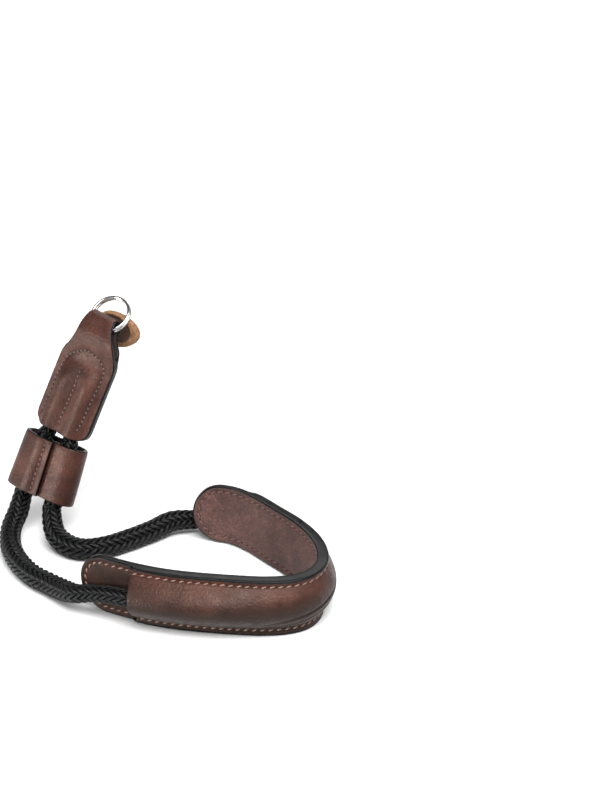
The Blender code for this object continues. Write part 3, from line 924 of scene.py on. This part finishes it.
def tab_place(matrix, u, v, height):
    """A spot of the tab: u from -1 to 0 up the front, to 1 over the fold, to 2 down the back."""
    if 0.0 < u < 1.0:
        swing = math.radians(RING_SWING)
        angle = math.pi * u
        depth = tab_hinge_depth() * (1 - math.sin(angle))
        up = Vector((0.0, math.sin(swing), math.cos(swing)))
        back = Vector((0.0, math.cos(swing), -math.sin(swing)))
        point = (up * math.sin(angle) - back * math.cos(angle)) * height(0.0, 0.0)
        point.x = v * tab_half_width(depth)
        return matrix @ neck_set(point, 0.0)
    share = -u if u <= 0.0 else u - 1.0
    side = -1 if u <= 0.0 else 1
    drop = (TAB_BELOW - tab_corner(v)) * share
    x = v * tab_half_width(drop + tab_hinge_depth())
    bow, slope = neck_line(drop)
    normal = Vector((0.0, 1.0, slope)).normalized()
    return matrix @ neck_set(Vector((x, bow, -drop)) + normal * side * height(x, drop), drop)


def tab_cover(x, drop):
    """Height of the outer face: one dome at the top of the ropes, then a shallow valley."""
    depth = drop + tab_hinge_depth()
    half_space = ROPE_TAB_SPACING / 2
    if abs(x) < half_space:
        valley = TAB_VALLEY * smoothstep((depth - TAB_VALLEY_FROM) / TAB_VALLEY_LENGTH)
        ridge = TAB_RIDGE - valley * (1 + math.cos(math.tau * x / ROPE_TAB_SPACING)) / 2
    else:
        ridge = TAB_RIDGE * math.cos(math.pi / 2 * min((abs(x) - half_space) / TAB_LOBE_SIDE, 1.7))
        ridge = (ridge + math.hypot(ridge, 2 * TAB_CREASE)) / 2
    start = TAB_DOME_FROM + TAB_DOME_ROUND * x * x / MM
    ridge *= smoothstep((depth - start) / TAB_DOME_LENGTH)
    return tab_loop(drop) + TAB_LEATHER + ridge


def tab_uv(x, depth, back):
    """The sheet's u and v at a distance across and below the crest."""
    drop = depth - tab_hinge_depth()
    v = x / tab_half_width(depth)
    share = drop / (TAB_BELOW - tab_corner(v))
    return (1.0 + share if back else -share), v


def tab_relief(u, v):
    if 0.0 < u < 1.0:
        return 0.0
    share = -u if u <= 0.0 else u - 1.0
    drop = (TAB_BELOW - tab_corner(v)) * share
    depth = drop + tab_hinge_depth()
    x = v * tab_half_width(depth)
    seams = [near_line(line, x / MM, depth / MM) * MM for line in (TAB_ARCH_SEAM, TAB_CENTRE_SEAM)]
    edge = (1 - abs(v)) * tab_half_width(depth)
    return sum(groove(seam) for seam in seams) - EASE_DEPTH * hump(edge, EASE_WIDTH)


def build_tab(matrix, skins):
    shares = steps(TAB_STEPS)
    us = [-share for share in reversed(shares)]
    us += steps(TAB_FOLD_STEPS)[1:-1]
    us += [1.0 + share for share in shares]
    vs = mixed_spread(TAB_COLUMNS, 0.35)

    def inner(u, v):
        return tab_place(
            matrix, u, v, lambda x, drop: min(tab_gap(x, drop), tab_cover(x, drop) - TAB_LEAST_LEATHER)
        )

    def outer(u, v):
        return tab_place(matrix, u, v, tab_cover)

    sheet = Sheet(us, vs, inner, outer, tab_relief)
    leather = sheet.object("tab_leather", skins["tab"], skins["edge"], skins["flesh"])
    threads = Solid()
    for back in (False, True):
        for seam in (TAB_ARCH_SEAM, TAB_CENTRE_SEAM):
            line = smooth_path([Vector((x, depth, 0.0)) for x, depth in seam], TAB_SEAM_STEPS)
            places = [sheet.on_outer(*tab_uv(p.x * MM, p.y * MM, back)) for p in line]
            stitch_row(threads, places, STITCH_PITCH)
    stitches = threads.object("tab_stitches", [skins["tab_thread"], skins["hole_shade"]])
    paint = Solid()
    for side in (-1, 1):
        places = []
        edge = [(side, TAB_PAINT_FROM + TAB_PAINT_STEP * step) for step in range(60)]
        edge = [(v, d) for v, d in edge if d < TAB_LENGTH - TAB_CORNER_R - RIM_BULGE]
        edge += [(side * (1 - TAB_PAINT_ROUND * step), None) for step in range(1, 9)]
        count = len(edge)
        for index, (v, depth) in enumerate(edge):
            drop = TAB_BELOW - tab_corner(v) if depth is None else depth - tab_hinge_depth()
            share = drop / (TAB_BELOW - tab_corner(v))
            front = sheet.on_outer(-share, v)[0]
            rear = sheet.on_outer(1.0 + share, v)[0]
            fade = min(index, count - 1 - index) / 6.0
            size = blend(0.25, 1.0, smoothstep(fade))
            across = front - rear
            places.append(((front + rear) / 2, across.normalized(), across.length / 2, size))
        bead(paint, places, False, side, EDGE_DEPTH / 2 - RIM_BULGE - EDGE_BULGE)
    painted = paint.object("tab_edge_paint", [skins["edge"]])
    return leather, stitches, painted


# The slider


def slider_frame_matrix(tab_matrix):
    top = Vector((0.0, 0.0, tab_hinge_depth() - TAB_LENGTH - SLIDER_TOP_GAP))
    turn = Matrix.Rotation(math.radians(-SLIDER_TURN), 4, "Y")
    return tab_matrix @ Matrix.Translation(top) @ turn


def slider_section(flare):
    """Inner line of the rolled strip in plan, from its covered end round to the top flap."""
    rope_r = ROPE_D / 2 + SLIDER_BORE_GAP
    bend = SLIDER_WIDTH / 2 - SLIDER_LEATHER - rope_r
    lap = SLIDER_LAP
    valley = SLIDER_VALLEY
    over = SLIDER_LEATHER + SEAT_GAP
    line = [
        (-lap, -rope_r + 0.2 * valley),
        (-0.5 * lap, -rope_r + 0.8 * valley),
        (0.0, -rope_r + valley),
        (0.35 * bend, -rope_r + 0.6 * valley),
        (0.65 * bend, -rope_r + 0.1 * valley),
    ]
    for step in range(9):
        angle = math.pi * step / 8.0 - math.pi / 2
        line.append((bend + rope_r * math.cos(angle), rope_r * math.sin(angle)))
    line += [(0.5 * bend, rope_r), (0.0, rope_r), (-0.5 * bend, rope_r)]
    for step in range(8):
        angle = math.pi / 2 + math.pi * step / 8.0
        line.append((-bend + rope_r * math.cos(angle), rope_r * math.sin(angle)))
    line += [
        (-bend - 0.1 * rope_r, -rope_r - 0.1 * over),
        (-lap - 1.05 * over, -rope_r - 0.55 * over),
        (-lap + 0.1 * over, -rope_r - over),
        (-0.5 * lap, -rope_r - over + 0.8 * valley),
        (0.5 * lap, -rope_r - over + valley),
    ]
    return [Vector((x * flare, y, 0.0)) for x, y in line]


def build_slider(matrix, skins):
    count = SLIDER_COLUMNS
    sections = {}
    us = even_spread(SLIDER_ROWS)
    vs = steps(count - 1)
    for u in us:
        share = (1 - u) / 2
        sections[u] = smooth_path(slider_section(blend(1.0, SLIDER_FLARE, share)), count)
    seam_v = 1.0 - SLIDER_SEAM_INSET / path_length(sections[us[0]])

    def point(u, v):
        share = (1 - u) / 2
        flat = sections[u][int(round(v * (count - 1)))]
        length = SLIDER_LENGTH - 2 * RIM_BULGE
        return matrix @ (flat - Vector((0.0, 0.0, RIM_BULGE + length * share)))

    def relief(u, v):
        away = (v - seam_v) * SLIDER_SEAM_INSET / (1.0 - seam_v)
        reach = groove(away) * smoothstep((0.93 - abs(u)) / 0.05)
        edge = (1 - abs(u)) * SLIDER_LENGTH / 2
        return reach - SLIDER_EASE_DEPTH * hump(edge, SLIDER_EASE_WIDTH)

    sheet = Sheet(us, vs, point, SLIDER_LEATHER, relief, rounds=SLIDER_ROUNDS)
    leather = sheet.object("slider_leather", skins["slider"], skins["edge"], skins["flesh"])
    threads = Solid()
    line = [sheet.on_outer(0.90 * u, seam_v) for u in us]
    stitch_row(threads, line, STITCH_PITCH)
    return leather, threads.object("slider_stitches", [skins["tab_thread"], skins["hole_shade"]])


# The wrist pad


def pad_bend(share):
    return smoothstep(1 - abs(share - PAD_BEND_AT) / PAD_BEND_REACH)


class PadPath:
    """The pad's middle line above the floor, and places about it, cupped at the bend."""

    def __init__(self):
        middle_z = FLOOR_Z + PAD_WIDTH / 2
        points = [Vector((x * MM, y * MM, middle_z)) for x, y in PAD_PLAN]
        self.line = smooth_path(points, PAD_PATH_STEPS + 1)
        self.length = path_length(self.line)

    def spot(self, share):
        """The middle line's point at a share of the length, and the level way outward."""
        position = min(max(share, 0.0), 1.0) * (len(self.line) - 1)
        index = min(int(position), len(self.line) - 2)
        middle = self.line[index].lerp(self.line[index + 1], position - index)
        spans = []
        for whole in (index, index + 1):
            before = self.line[max(whole - 3, 0)]
            after = self.line[min(whole + 3, len(self.line) - 1)]
            spans.append((after - before).normalized())
        along = spans[0].lerp(spans[1], position - index).normalized()
        return middle, Vector((along.y, -along.x, 0.0))

    def place(self, share, height, outward):
        """A world point at a share of the length, a height up the pad and a depth outward."""
        middle, out = self.spot(share)
        lean = math.radians(blend(PAD_LEAN_FRONT, PAD_LEAN_BACK, smoothstep(share * 2 - 0.6)))
        up = Vector((0.0, 0.0, math.cos(lean))) + out * math.sin(lean)
        face = out * math.cos(lean) - Vector((0.0, 0.0, math.sin(lean)))
        arch = math.cos(math.pi / 2 * min(abs(height) / (PAD_WIDTH / 2), 1.0)) ** 2
        cup = PAD_CUP * pad_bend(share) * arch
        return middle + up * height + face * (outward - cup)


def pad_total():
    return LINING_THICK + BASE_THICK + COVER_THICK + 2 * LAYER_GAP


def base_outer():
    return -pad_total() / 2 + LINING_THICK + LAYER_GAP + BASE_THICK


def pad_rope_r(share):
    return ROPE_D / 2 * blend(ROPE_PAD_SQUEEZE, ROPE_BEND_SQUEEZE, pad_bend(share))


def cover_rise(height, share):
    peak = 2 * (pad_rope_r(share) + ROPE_GAP) - LAYER_GAP
    rise = peak * math.cos(math.pi / 2 * min(abs(height) / (COVER_BULGE_WIDTH / 2), 1.6))
    return LAYER_GAP + (rise + math.hypot(rise, COVER_CREASE)) / 2


def pad_outline(path, count, inset):
    """(share, height) round the pad's border, inset by a distance, as a closed line."""
    half = PAD_WIDTH / 2 - inset
    reach = path.length / 2 - inset
    straight = reach - half
    quarter = math.pi * half / 2
    total = 4 * straight + 4 * quarter
    spots = []
    for step in range(count):
        walked = total * step / count
        side = 1 if walked < total / 2 else -1
        walked -= 0 if side == 1 else total / 2
        if walked < 2 * straight:
            x = -straight + walked
            y = half
        else:
            angle = (walked - 2 * straight) / half
            x = straight + half * math.sin(angle)
            y = half * math.cos(angle)
        spots.append((0.5 + side * x / path.length, side * y))
    return spots


def strip_reach(path, v):
    """Half the length of a round-ended strip at a share of its half width."""
    half = PAD_WIDTH / 2 - RIM_BULGE
    return path.length / 2 - RIM_BULGE - half * (1 - math.sqrt(max(1 - v**2, 0.0)))


def rounded_strip(path, inner, thickness, relief_out=None, relief_in=None):
    half = PAD_WIDTH / 2 - RIM_BULGE

    def spot(u, v):
        return 0.5 - u * strip_reach(path, v) / path.length, v * half

    def point(u, v):
        share, height = spot(u, v)
        return path.place(share, height, inner)

    def wrapped(relief):
        if relief is None:
            return None
        return lambda u, v: relief(*spot(u, v))

    us = mixed_spread(STRIP_ROWS, 0.12)
    vs = edge_spread(STRIP_COLUMNS)
    return Sheet(us, vs, point, thickness, wrapped(relief_out), wrapped(relief_in))


def strip_uv(path, share, height):
    half = PAD_WIDTH / 2 - RIM_BULGE
    v = min(max(height / half, -0.999), 0.999)
    return (0.5 - share) * path.length / strip_reach(path, v), v


def border_distance(path, share, height):
    """Distance of a spot on the pad from the pad's border."""
    half = PAD_WIDTH / 2
    straight = path.length / 2 - half
    beyond = abs(share - 0.5) * path.length - straight
    if beyond > 0:
        return half - math.hypot(beyond, height)
    return half - abs(height)


def build_pad(path, skins):
    inner = -pad_total() / 2
    base_inner = inner + LINING_THICK + LAYER_GAP
    cover_start = COVER_END_DISTANCE / path.length

    def seam(share, height):
        return groove(border_distance(path, share, height) - PAD_SEAM_INSET)

    def cushion(share, height):
        inside = border_distance(path, share, height)
        return seam(share, height) + LINING_CUSHION * smoothstep((inside - PAD_SEAM_INSET) / (3 * MM))

    lining = rounded_strip(path, inner, LINING_THICK, None, cushion)
    base = rounded_strip(path, base_inner, BASE_THICK, seam, None)
    lining_piece = lining.object("pad_lining_leather", skins["lining"], skins["edge"], skins["lining"])
    base_piece = base.object("pad_base_leather", skins["base"], skins["edge"], skins["flesh"])
    half = PAD_WIDTH / 2 - COVER_INSET - RIM_BULGE

    def cover_spot(u, v):
        bow = (COVER_END_BOW * (1 - v * v) - COVER_END_SLANT * v) / path.length
        return blend(1 - cover_start, cover_start + bow, u), v * half

    def cover_point(u, v):
        share, height = cover_spot(u, v)
        return path.place(share, height, base_outer() + cover_rise(height, share))

    def cover_relief(u, v):
        share, height = cover_spot(u, v)
        climb = COVER_FOLD_CLIMB * (share - PAD_BEND_AT + COVER_FOLD_LEAD)
        folds = sum(
            depth * MM * hump(height - low * MM - climb, width * MM)
            for low, depth, width in COVER_FOLDS
        )
        return seam(share, height) - folds * pad_bend(share) ** 2

    us = steps(COVER_STEPS)
    vs = mixed_spread(COVER_COLUMNS, 0.2)
    cover = Sheet(us, vs, cover_point, COVER_THICK, cover_relief)
    cover_piece = cover.object("pad_cover_leather", skins["cover"], skins["cover_rim"], skins["flesh"])

    threads = Solid()
    seam_half = PAD_WIDTH / 2 - PAD_SEAM_INSET
    for side in (-1, 1):
        line = [cover.on_outer(blend(0.004, 0.996, share), side * seam_half / half) for share in steps(300)]
        stitch_row(threads, line, *PAD_STITCH)
    outline = pad_outline(path, PAD_SEAM_STEPS, PAD_SEAM_INSET)
    front = [spot for spot in outline if spot[0] < cover_start]
    split = max(range(len(front)), key=lambda i: abs(front[i][0] - front[i - 1][0]))
    back = [spot for spot in outline if spot[0] > 1 - cover_start]
    for spots in (front[split:] + front[:split], back):
        stitch_row(threads, [base.on_outer(*strip_uv(path, *spot)) for spot in spots], *PAD_STITCH)
    outer_stitches = threads.object("pad_outer_stitches", [skins["pad_thread"], skins["hole_shade"]])
    threads = Solid()
    line = [lining.on_inner(*strip_uv(path, *spot)) for spot in outline + outline[:1]]
    stitch_row(threads, line, *PAD_STITCH)
    inner_stitches = threads.object("pad_inner_stitches", [skins["lining_thread"], skins["hole_shade"]])

    paint = Solid()
    places = []
    for share, height in pad_outline(path, PAD_BEAD_STEPS, 0.0):
        covered = smoothstep((min(share, 1 - share) - cover_start) * path.length / (3.0 * MM) + 0.5)
        top = base_outer() + covered * (LAYER_GAP + COVER_THICK)
        low = path.place(share, height, inner)
        high = path.place(share, height, top)
        places.append(((low + high) / 2, (high - low).normalized(), (high - low).length / 2, 1.0))
    bead(paint, places, True, -1, EDGE_DEPTH / 2 - EDGE_BULGE)
    painted = paint.object("pad_edge_paint", [skins["edge"]])
    return lining_piece, base_piece, cover_piece, outer_stitches, inner_stitches, painted


# The rope


def rope_route(path, tab_matrix, slider_matrix):
    """Route points of the rope with the rope's radius at each."""
    drop_start = TAB_ROPE_START - tab_hinge_depth()
    tab_end = TAB_LENGTH - tab_hinge_depth()
    in_tab = ROPE_TAB_SPACING / 2
    in_slider = ROPE_SLIDER_SPACING / 2
    free_r = ROPE_D / 2
    tab_r = free_r * ROPE_TAB_SQUEEZE
    sewn = [
        (drop_start + TAB_ROPE_HIDDEN, tab_r),
        (blend(drop_start, tab_end, 0.5), tab_r),
        (tab_end - ROPE_D / 2, tab_r),
        (tab_end + 0.1 * ROPE_D, tab_r),
    ]
    rolled = [
        (blend(in_tab, in_slider, 0.30), 0.0, blend(tab_r, free_r, 0.8)),
        (blend(in_tab, in_slider, 0.55), 0.3 * SLIDER_LENGTH, free_r),
        (blend(in_tab, in_slider, 0.80), 0.65 * SLIDER_LENGTH, free_r),
        (in_slider, SLIDER_LENGTH, free_r),
        (in_slider, SLIDER_LENGTH + ROPE_STRAIGHT, free_r),
    ]

    def leg(side):
        points = [(tab_matrix @ Vector((side * in_tab, 0.0, -drop)), r) for drop, r in sewn]
        points += [(slider_matrix @ Vector((side * x, 0.0, -z)), r) for x, z, r in rolled]
        return points

    def on_pad(share, height, beyond):
        r = pad_rope_r(share)
        return path.place(share, height, base_outer() + ROPE_GAP + r + beyond), r

    inner = ROPE_COVERED_FROM / path.length
    front = [on_pad(s * MM / path.length, h * MM, b * MM) for s, h, b in ROPE_FRONT_MOUTH]
    back = [on_pad(1 - s * MM / path.length, h * MM, b * MM) for s, h, b in ROPE_BACK_MOUTH]
    for mouth in (front, back):
        mouth[0] = (mouth[0][0], ROPE_MOUTH_R)
    covered = [on_pad(blend(inner, 1 - inner, share), 0.0, 0.0) for share in steps(24)]
    left, right = (
        [(Vector(point) * MM, ROPE_FREE_R) for point in route]
        for route in (ROPE_LEFT_ROUTE, ROPE_RIGHT_ROUTE)
    )
    return [*leg(-1), *left, *front, *covered, *reversed(back), *right, *reversed(leg(1))]


def build_rope(route, skin, core_skin):
    """Strands plaited round a core, following the route."""
    line = smooth_path([Vector((*point, r)) for point, r in route], BRAID_STEPS)
    centres = [p.to_3d() for p in line]
    radii = [p.w for p in line]
    tangents = directions(centres, 2)
    side = tangents[0].orthogonal().normalized()
    frames = []
    for tangent in tangents:
        side = (side - tangent * side.dot(tangent)).normalized()
        frames.append((side.copy(), tangent.cross(side)))
    walked = walked_lengths(centres)
    solid = Solid()
    core = []
    for centre, (a, b), r in zip(centres, frames, radii):
        core.append(circle(centre, a * r * CORE_R, b * r * CORE_R, CORE_SIDES))
    solid.rings(core, index=1)
    for way in (1, -1):
        for strand in range(BRAID_STRANDS):
            lane = []
            for centre, (a, b), r, s in zip(centres, frames, radii, walked):
                angle = way * math.tau * s / BRAID_PITCH + math.tau * strand / BRAID_STRANDS
                weave = way * math.cos(BRAID_COLUMNS * angle - math.pi / 4)
                reach = r * (BRAID_MIDDLE_R + BRAID_WEAVE * math.tanh(1.6 * weave))
                out = a * math.cos(angle) + b * math.sin(angle)
                lane.append((centre + out * reach, out, r))
            rings = []
            for index, (point, out, r) in enumerate(lane):
                ahead = lane[min(index + 1, len(lane) - 1)][0] - lane[max(index - 1, 0)][0]
                across = ahead.cross(out).normalized()
                up = across.cross(ahead).normalized()
                half_axes = (across * r * STRAND_WIDTH, up * r * STRAND_THICK)
                rings.append(circle(point, *half_axes, STRAND_SIDES))
            solid.rings(rings)
    rope = solid.object("rope_plait", [skin, core_skin])
    layer = rope.data.uv_layers.new(name="strand")
    values = []
    first_strand = len(centres) * CORE_SIDES
    for polygon in rope.data.polygons:
        corners = [rope.data.loops[loop].vertex_index - first_strand for loop in polygon.loop_indices]
        around = [corner % STRAND_SIDES for corner in corners]
        wrap = max(around) - min(around) > STRAND_SIDES // 2
        for corner, turn in zip(corners, around):
            step = corner // STRAND_SIDES % len(centres)
            turn = turn + STRAND_SIDES if wrap and turn == 0 else turn
            values += [step * STRAND_UV_STEP, turn * STRAND_UV_TURN]
    layer.data.foreach_set("uv", values)
    return rope, centres


# The ring and the guard


def build_ring(matrix, skin):
    mean_r = (RING_OUTER_D - RING_WIRE_D) / 2
    layer = (RING_WIRE_D + RING_TURN_GAP) / 2
    step_angle = math.radians(RING_STEP_ANGLE)
    sweep = 4 * math.pi - step_angle
    centres = []
    for index in range(WIRE_STEPS + 1):
        angle = sweep * index / WIRE_STEPS
        rise = smoothstep((angle - (2 * math.pi - step_angle)) / step_angle)
        around = angle + math.radians(RING_START_ANGLE)
        height = blend(-layer, layer, rise)
        centres.append(Vector((mean_r * math.cos(around), mean_r * math.sin(around), height)))
    rings = []
    for index, (centre, along) in enumerate(zip(centres, directions(centres))):
        out = Vector((centre.x, centre.y, 0.0)).normalized()
        out = (out - along * out.dot(along)).normalized()
        up = along.cross(out)
        near_end = min(index, WIRE_STEPS - index) / 2.0
        radius = RING_WIRE_D / 2 * (0.72 + 0.28 * smoothstep(near_end))
        ring = []
        for corner in range(WIRE_SIDES):
            angle = math.tau * corner / WIRE_SIDES
            c = math.cos(angle)
            s = math.sin(angle)
            flat = max(abs(c), abs(s)) ** 0.25
            ring.append(matrix @ (centre + (out * c + up * s) * radius / flat * 0.97))
        rings.append(ring)
    solid = Solid()
    solid.rings(rings)
    return solid.object("ring_wire", [skin])


def guard_matrix(ring_matrix):
    face = ring_matrix.col[2].to_3d()
    away = math.radians(GUARD_TURN)
    facing = Vector((-math.sin(away), -math.cos(away), 0.0))
    level = Vector((math.cos(away), -math.sin(away), 0.0))
    stack = RING_WIRE_D + RING_TURN_GAP / 2
    tilt = abs(facing.dot(face))
    reach = RING_OUTER_D / 2 * math.sqrt(1 - tilt**2) + stack * tilt - GUARD_NEARER
    centre = level * GUARD_SIDE - facing * reach - Vector((0.0, 0.0, GUARD_DROP))
    turn = Matrix((level, Vector((0.0, 0.0, 1.0)), facing)).transposed().to_4x4()
    return Matrix.Translation(centre) @ turn


def build_guard(matrix, skins):
    """Oval leather disc with a slit: rings of points between the slit and the border."""
    slit_y = GUARD_HEIGHT / 2 - GUARD_SLIT_FROM_EDGE - GUARD_SLIT_HEIGHT / 2
    half_l = GUARD_LENGTH / 2 - GUARD_BEVEL
    half_h = GUARD_HEIGHT / 2 - GUARD_BEVEL

    def flat(share, turn):
        angle = math.tau * turn / GUARD_SIDES
        c = math.cos(angle)
        s = math.sin(angle)
        inner = Vector((c * GUARD_SLIT_WIDTH / 2, s * GUARD_SLIT_HEIGHT / 2 + slit_y, 0.0))
        outer = Vector((c * half_l, s * half_h, 0.0))
        return inner.lerp(outer, share)

    def lifted(point, z):
        bow = -GUARD_BOW * (2 * point.x / GUARD_LENGTH) ** 2
        return matrix @ Vector((point.x, point.y, bow + z))

    # Loops of (share of the way out, height, 1 where raw): out over the face, in along the back
    low = -GUARD_THICK
    face = [(0.0, -0.25 * MM), (0.0, -0.08 * MM)]
    face += [(blend(0.04, 0.96, share), 0.0) for share in steps(12)]
    face += [(1.0, -0.10 * MM), (1.0, -0.45 * MM)]
    rim = [(1.0, blend(-0.45 * MM, low + 0.35 * MM, share)) for share in steps(6)[1:]]
    back = [(1.0, low + 0.08 * MM)] + [(blend(0.96, 0.04, share), low) for share in steps(12)]
    slit = [(0.0, low + 0.2 * MM), (0.0, low / 2)]
    loops = [(*spot, int(spot[0] > GUARD_WORN_FROM)) for spot in face]
    loops += [(*spot, 1) for spot in rim + back + slit]
    points = []
    faces = []
    indices = []
    for share, z, raw in loops:
        for turn in range(GUARD_SIDES):
            point = flat(share, turn)
            if (share, z) in rim:
                wave = math.sin(turn * 1.9 + z * 9000) * math.sin(turn * 0.73 + z * 5300)
                point = point * (1 + GUARD_FRAY / half_l * wave)
            points.append(lifted(point, z))
    for row, (_, _, raw) in enumerate(loops):
        a = row * GUARD_SIDES
        b = (row + 1) % len(loops) * GUARD_SIDES
        for turn in range(GUARD_SIDES):
            nearby = (turn + 1) % GUARD_SIDES
            faces.append((a + turn, b + turn, b + nearby, a + nearby))
            indices.append(raw)
    return mesh_object("guard_leather", points, faces, [skins["guard"], skins["raw"]], indices)


# Stage


def add_light(name, kind, power):
    data = bpy.data.lights.new(name, kind)
    data.energy = power
    made = bpy.data.objects.new(name, data)
    bpy.context.scene.collection.objects.link(made)
    return made


def build_lights():
    for name, place, size, power in AREA_LIGHTS:
        light = add_light(name, "AREA", power)
        light.data.shape = "RECTANGLE"
        light.data.size, light.data.size_y = size
        light.location = place
        aim = Vector(LIGHT_AIM) - Vector(place)
        light.rotation_euler = aim.to_track_quat("-Z", "Y").to_euler()
    overhead = add_light("overhead_light", "SUN", OVERHEAD_STRENGTH)
    overhead.data.angle = math.radians(OVERHEAD_SPREAD)
    overhead.rotation_euler = [math.radians(turn) for turn in OVERHEAD_TURN]


def build_world():
    """Pale at the horizon, dark above it, and brighter again overhead."""
    world = bpy.data.worlds.new("studio")
    world.use_nodes = True
    tree = world.node_tree
    where = tree.nodes.new("ShaderNodeTexCoord")
    split = tree.nodes.new("ShaderNodeSeparateXYZ")
    ramp = tree.nodes.new("ShaderNodeValToRGB")
    ramp.color_ramp.elements.new(0.5)
    for element, (height, tone) in zip(ramp.color_ramp.elements, WORLD_TONES):
        element.position = height
        element.color = (tone, tone, tone, 1.0)
    tree.links.new(where.outputs["Generated"], split.inputs[0])
    tree.links.new(split.outputs["Z"], ramp.inputs["Fac"])
    tree.links.new(ramp.outputs["Color"], tree.nodes["Background"].inputs["Color"])
    tree.nodes["Background"].inputs["Strength"].default_value = WORLD_STRENGTH
    bpy.context.scene.world = world


def build_stage():
    scene = bpy.context.scene
    scene.view_settings.view_transform = "Standard"
    data = bpy.data.cameras.new("photo_camera")
    data.sensor_fit = "VERTICAL"
    data.sensor_height = SENSOR_HEIGHT
    data.lens = FOCAL_PIXELS / PHOTO_HEIGHT * SENSOR_HEIGHT
    data.clip_start = 0.01
    data.clip_end = 50.0
    camera = bpy.data.objects.new("photo_camera", data)
    camera.location = CAMERA_PLACE
    camera.rotation_euler = (math.radians(CAMERA_TILT), 0.0, 0.0)
    scene.collection.objects.link(camera)
    scene.camera = camera

    skin = Skin("pale_floor")
    tone = skin.noise(3.0, 2.0, 0.5)
    color = skin.ramp(tone, zip((0.3, 0.7), [(grey, grey, grey) for grey in FLOOR_TONES]))
    floor_skin = skin.finish(Base_Color=color, Roughness=0.9)
    corners = [(-1, -1), (1, -1), (1, 1), (-1, 1)]
    points = [(x * FLOOR_HALF, y * FLOOR_HALF, FLOOR_Z - FLOOR_BELOW) for x, y in corners]
    floor = mesh_object("floor", points, [(0, 1, 2, 3)], [floor_skin])
    build_world()
    build_lights()


def main():
    random.seed(11)
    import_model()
    build_stage()
    skins = {
        "tab": smooth_leather("tab_leather_skin", BROWN, 0.46),
        "slider": smooth_leather("slider_leather_skin", BROWN, 0.43),
        "cover": smooth_leather("cover_leather_painted_shade_skin", BROWN, 0.44, PAINTED_SHADE_HEIGHTS),
        "base": smooth_leather("base_leather_skin", BASE_BROWN, 0.66),
        "lining": suede_leather("lining_skin", LINING_BROWN),
        "flesh": raw_leather("flesh_side_skin", FLESH_BROWN),
        "raw": raw_leather("raw_edge_skin", RAW_TAN),
        "guard": smooth_leather("guard_leather_skin", GUARD_BROWN, 0.5),
        "edge": edge_paint("edge_paint_skin", EDGE_BLACK),
        "cover_rim": edge_paint("cover_rim_skin", RIM_BROWN),
        "cord": cord_strand("cord_strand_skin", CORD_BLACK),
        "core": edge_paint("cord_core_skin", CORE_BLACK),
        "tab_thread": thread_skin("tab_thread_skin", TAB_THREAD),
        "lining_thread": thread_skin("lining_thread_skin", LINING_THREAD),
        "pad_thread": thread_skin("pad_thread_skin", PAD_THREAD),
        "hole_shade": raw_leather("hole_shade_skin", HOLE_SHADE_BROWN),
        "steel": steel_skin("steel_skin"),
    }
    tab_matrix = strap_frame_matrix()
    slider_matrix = slider_frame_matrix(tab_matrix)
    hinge, up, face = ring_axes(tab_matrix.to_3x3())
    ring_matrix = Matrix((hinge, up, face)).transposed().to_4x4()
    path = PadPath()

    route = rope_route(path, tab_matrix, slider_matrix)
    rope, centres = build_rope(route, skins["cord"], skins["core"])
    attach(rope, "strap")
    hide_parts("rope")
    [tuple(point) for point in centres]

    tab, tab_threads, tab_paint = build_tab(tab_matrix, skins)
    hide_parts("head_tab")
    slider, slider_threads = build_slider(slider_matrix, skins)
    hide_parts("slider")
    lining, base, cover, outer_threads, inner_threads, pad_paint = build_pad(path, skins)
    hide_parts("pad_lining")
    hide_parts("pad_base")
    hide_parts("pad_cover")
    ring = build_ring(ring_matrix, skins["steel"])
    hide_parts("split_ring")
    guard = build_guard(guard_matrix(ring_matrix), skins)
    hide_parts("lug_guard")

    pad_trim = (outer_threads, inner_threads, pad_paint)
    for piece in (tab, tab_threads, tab_paint, lining, base, cover, *pad_trim):
        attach(piece, "strap")
    for piece in (slider, slider_threads):
        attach(piece, "slider")
    for piece in (ring, guard):
        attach(piece, "ring")


main()
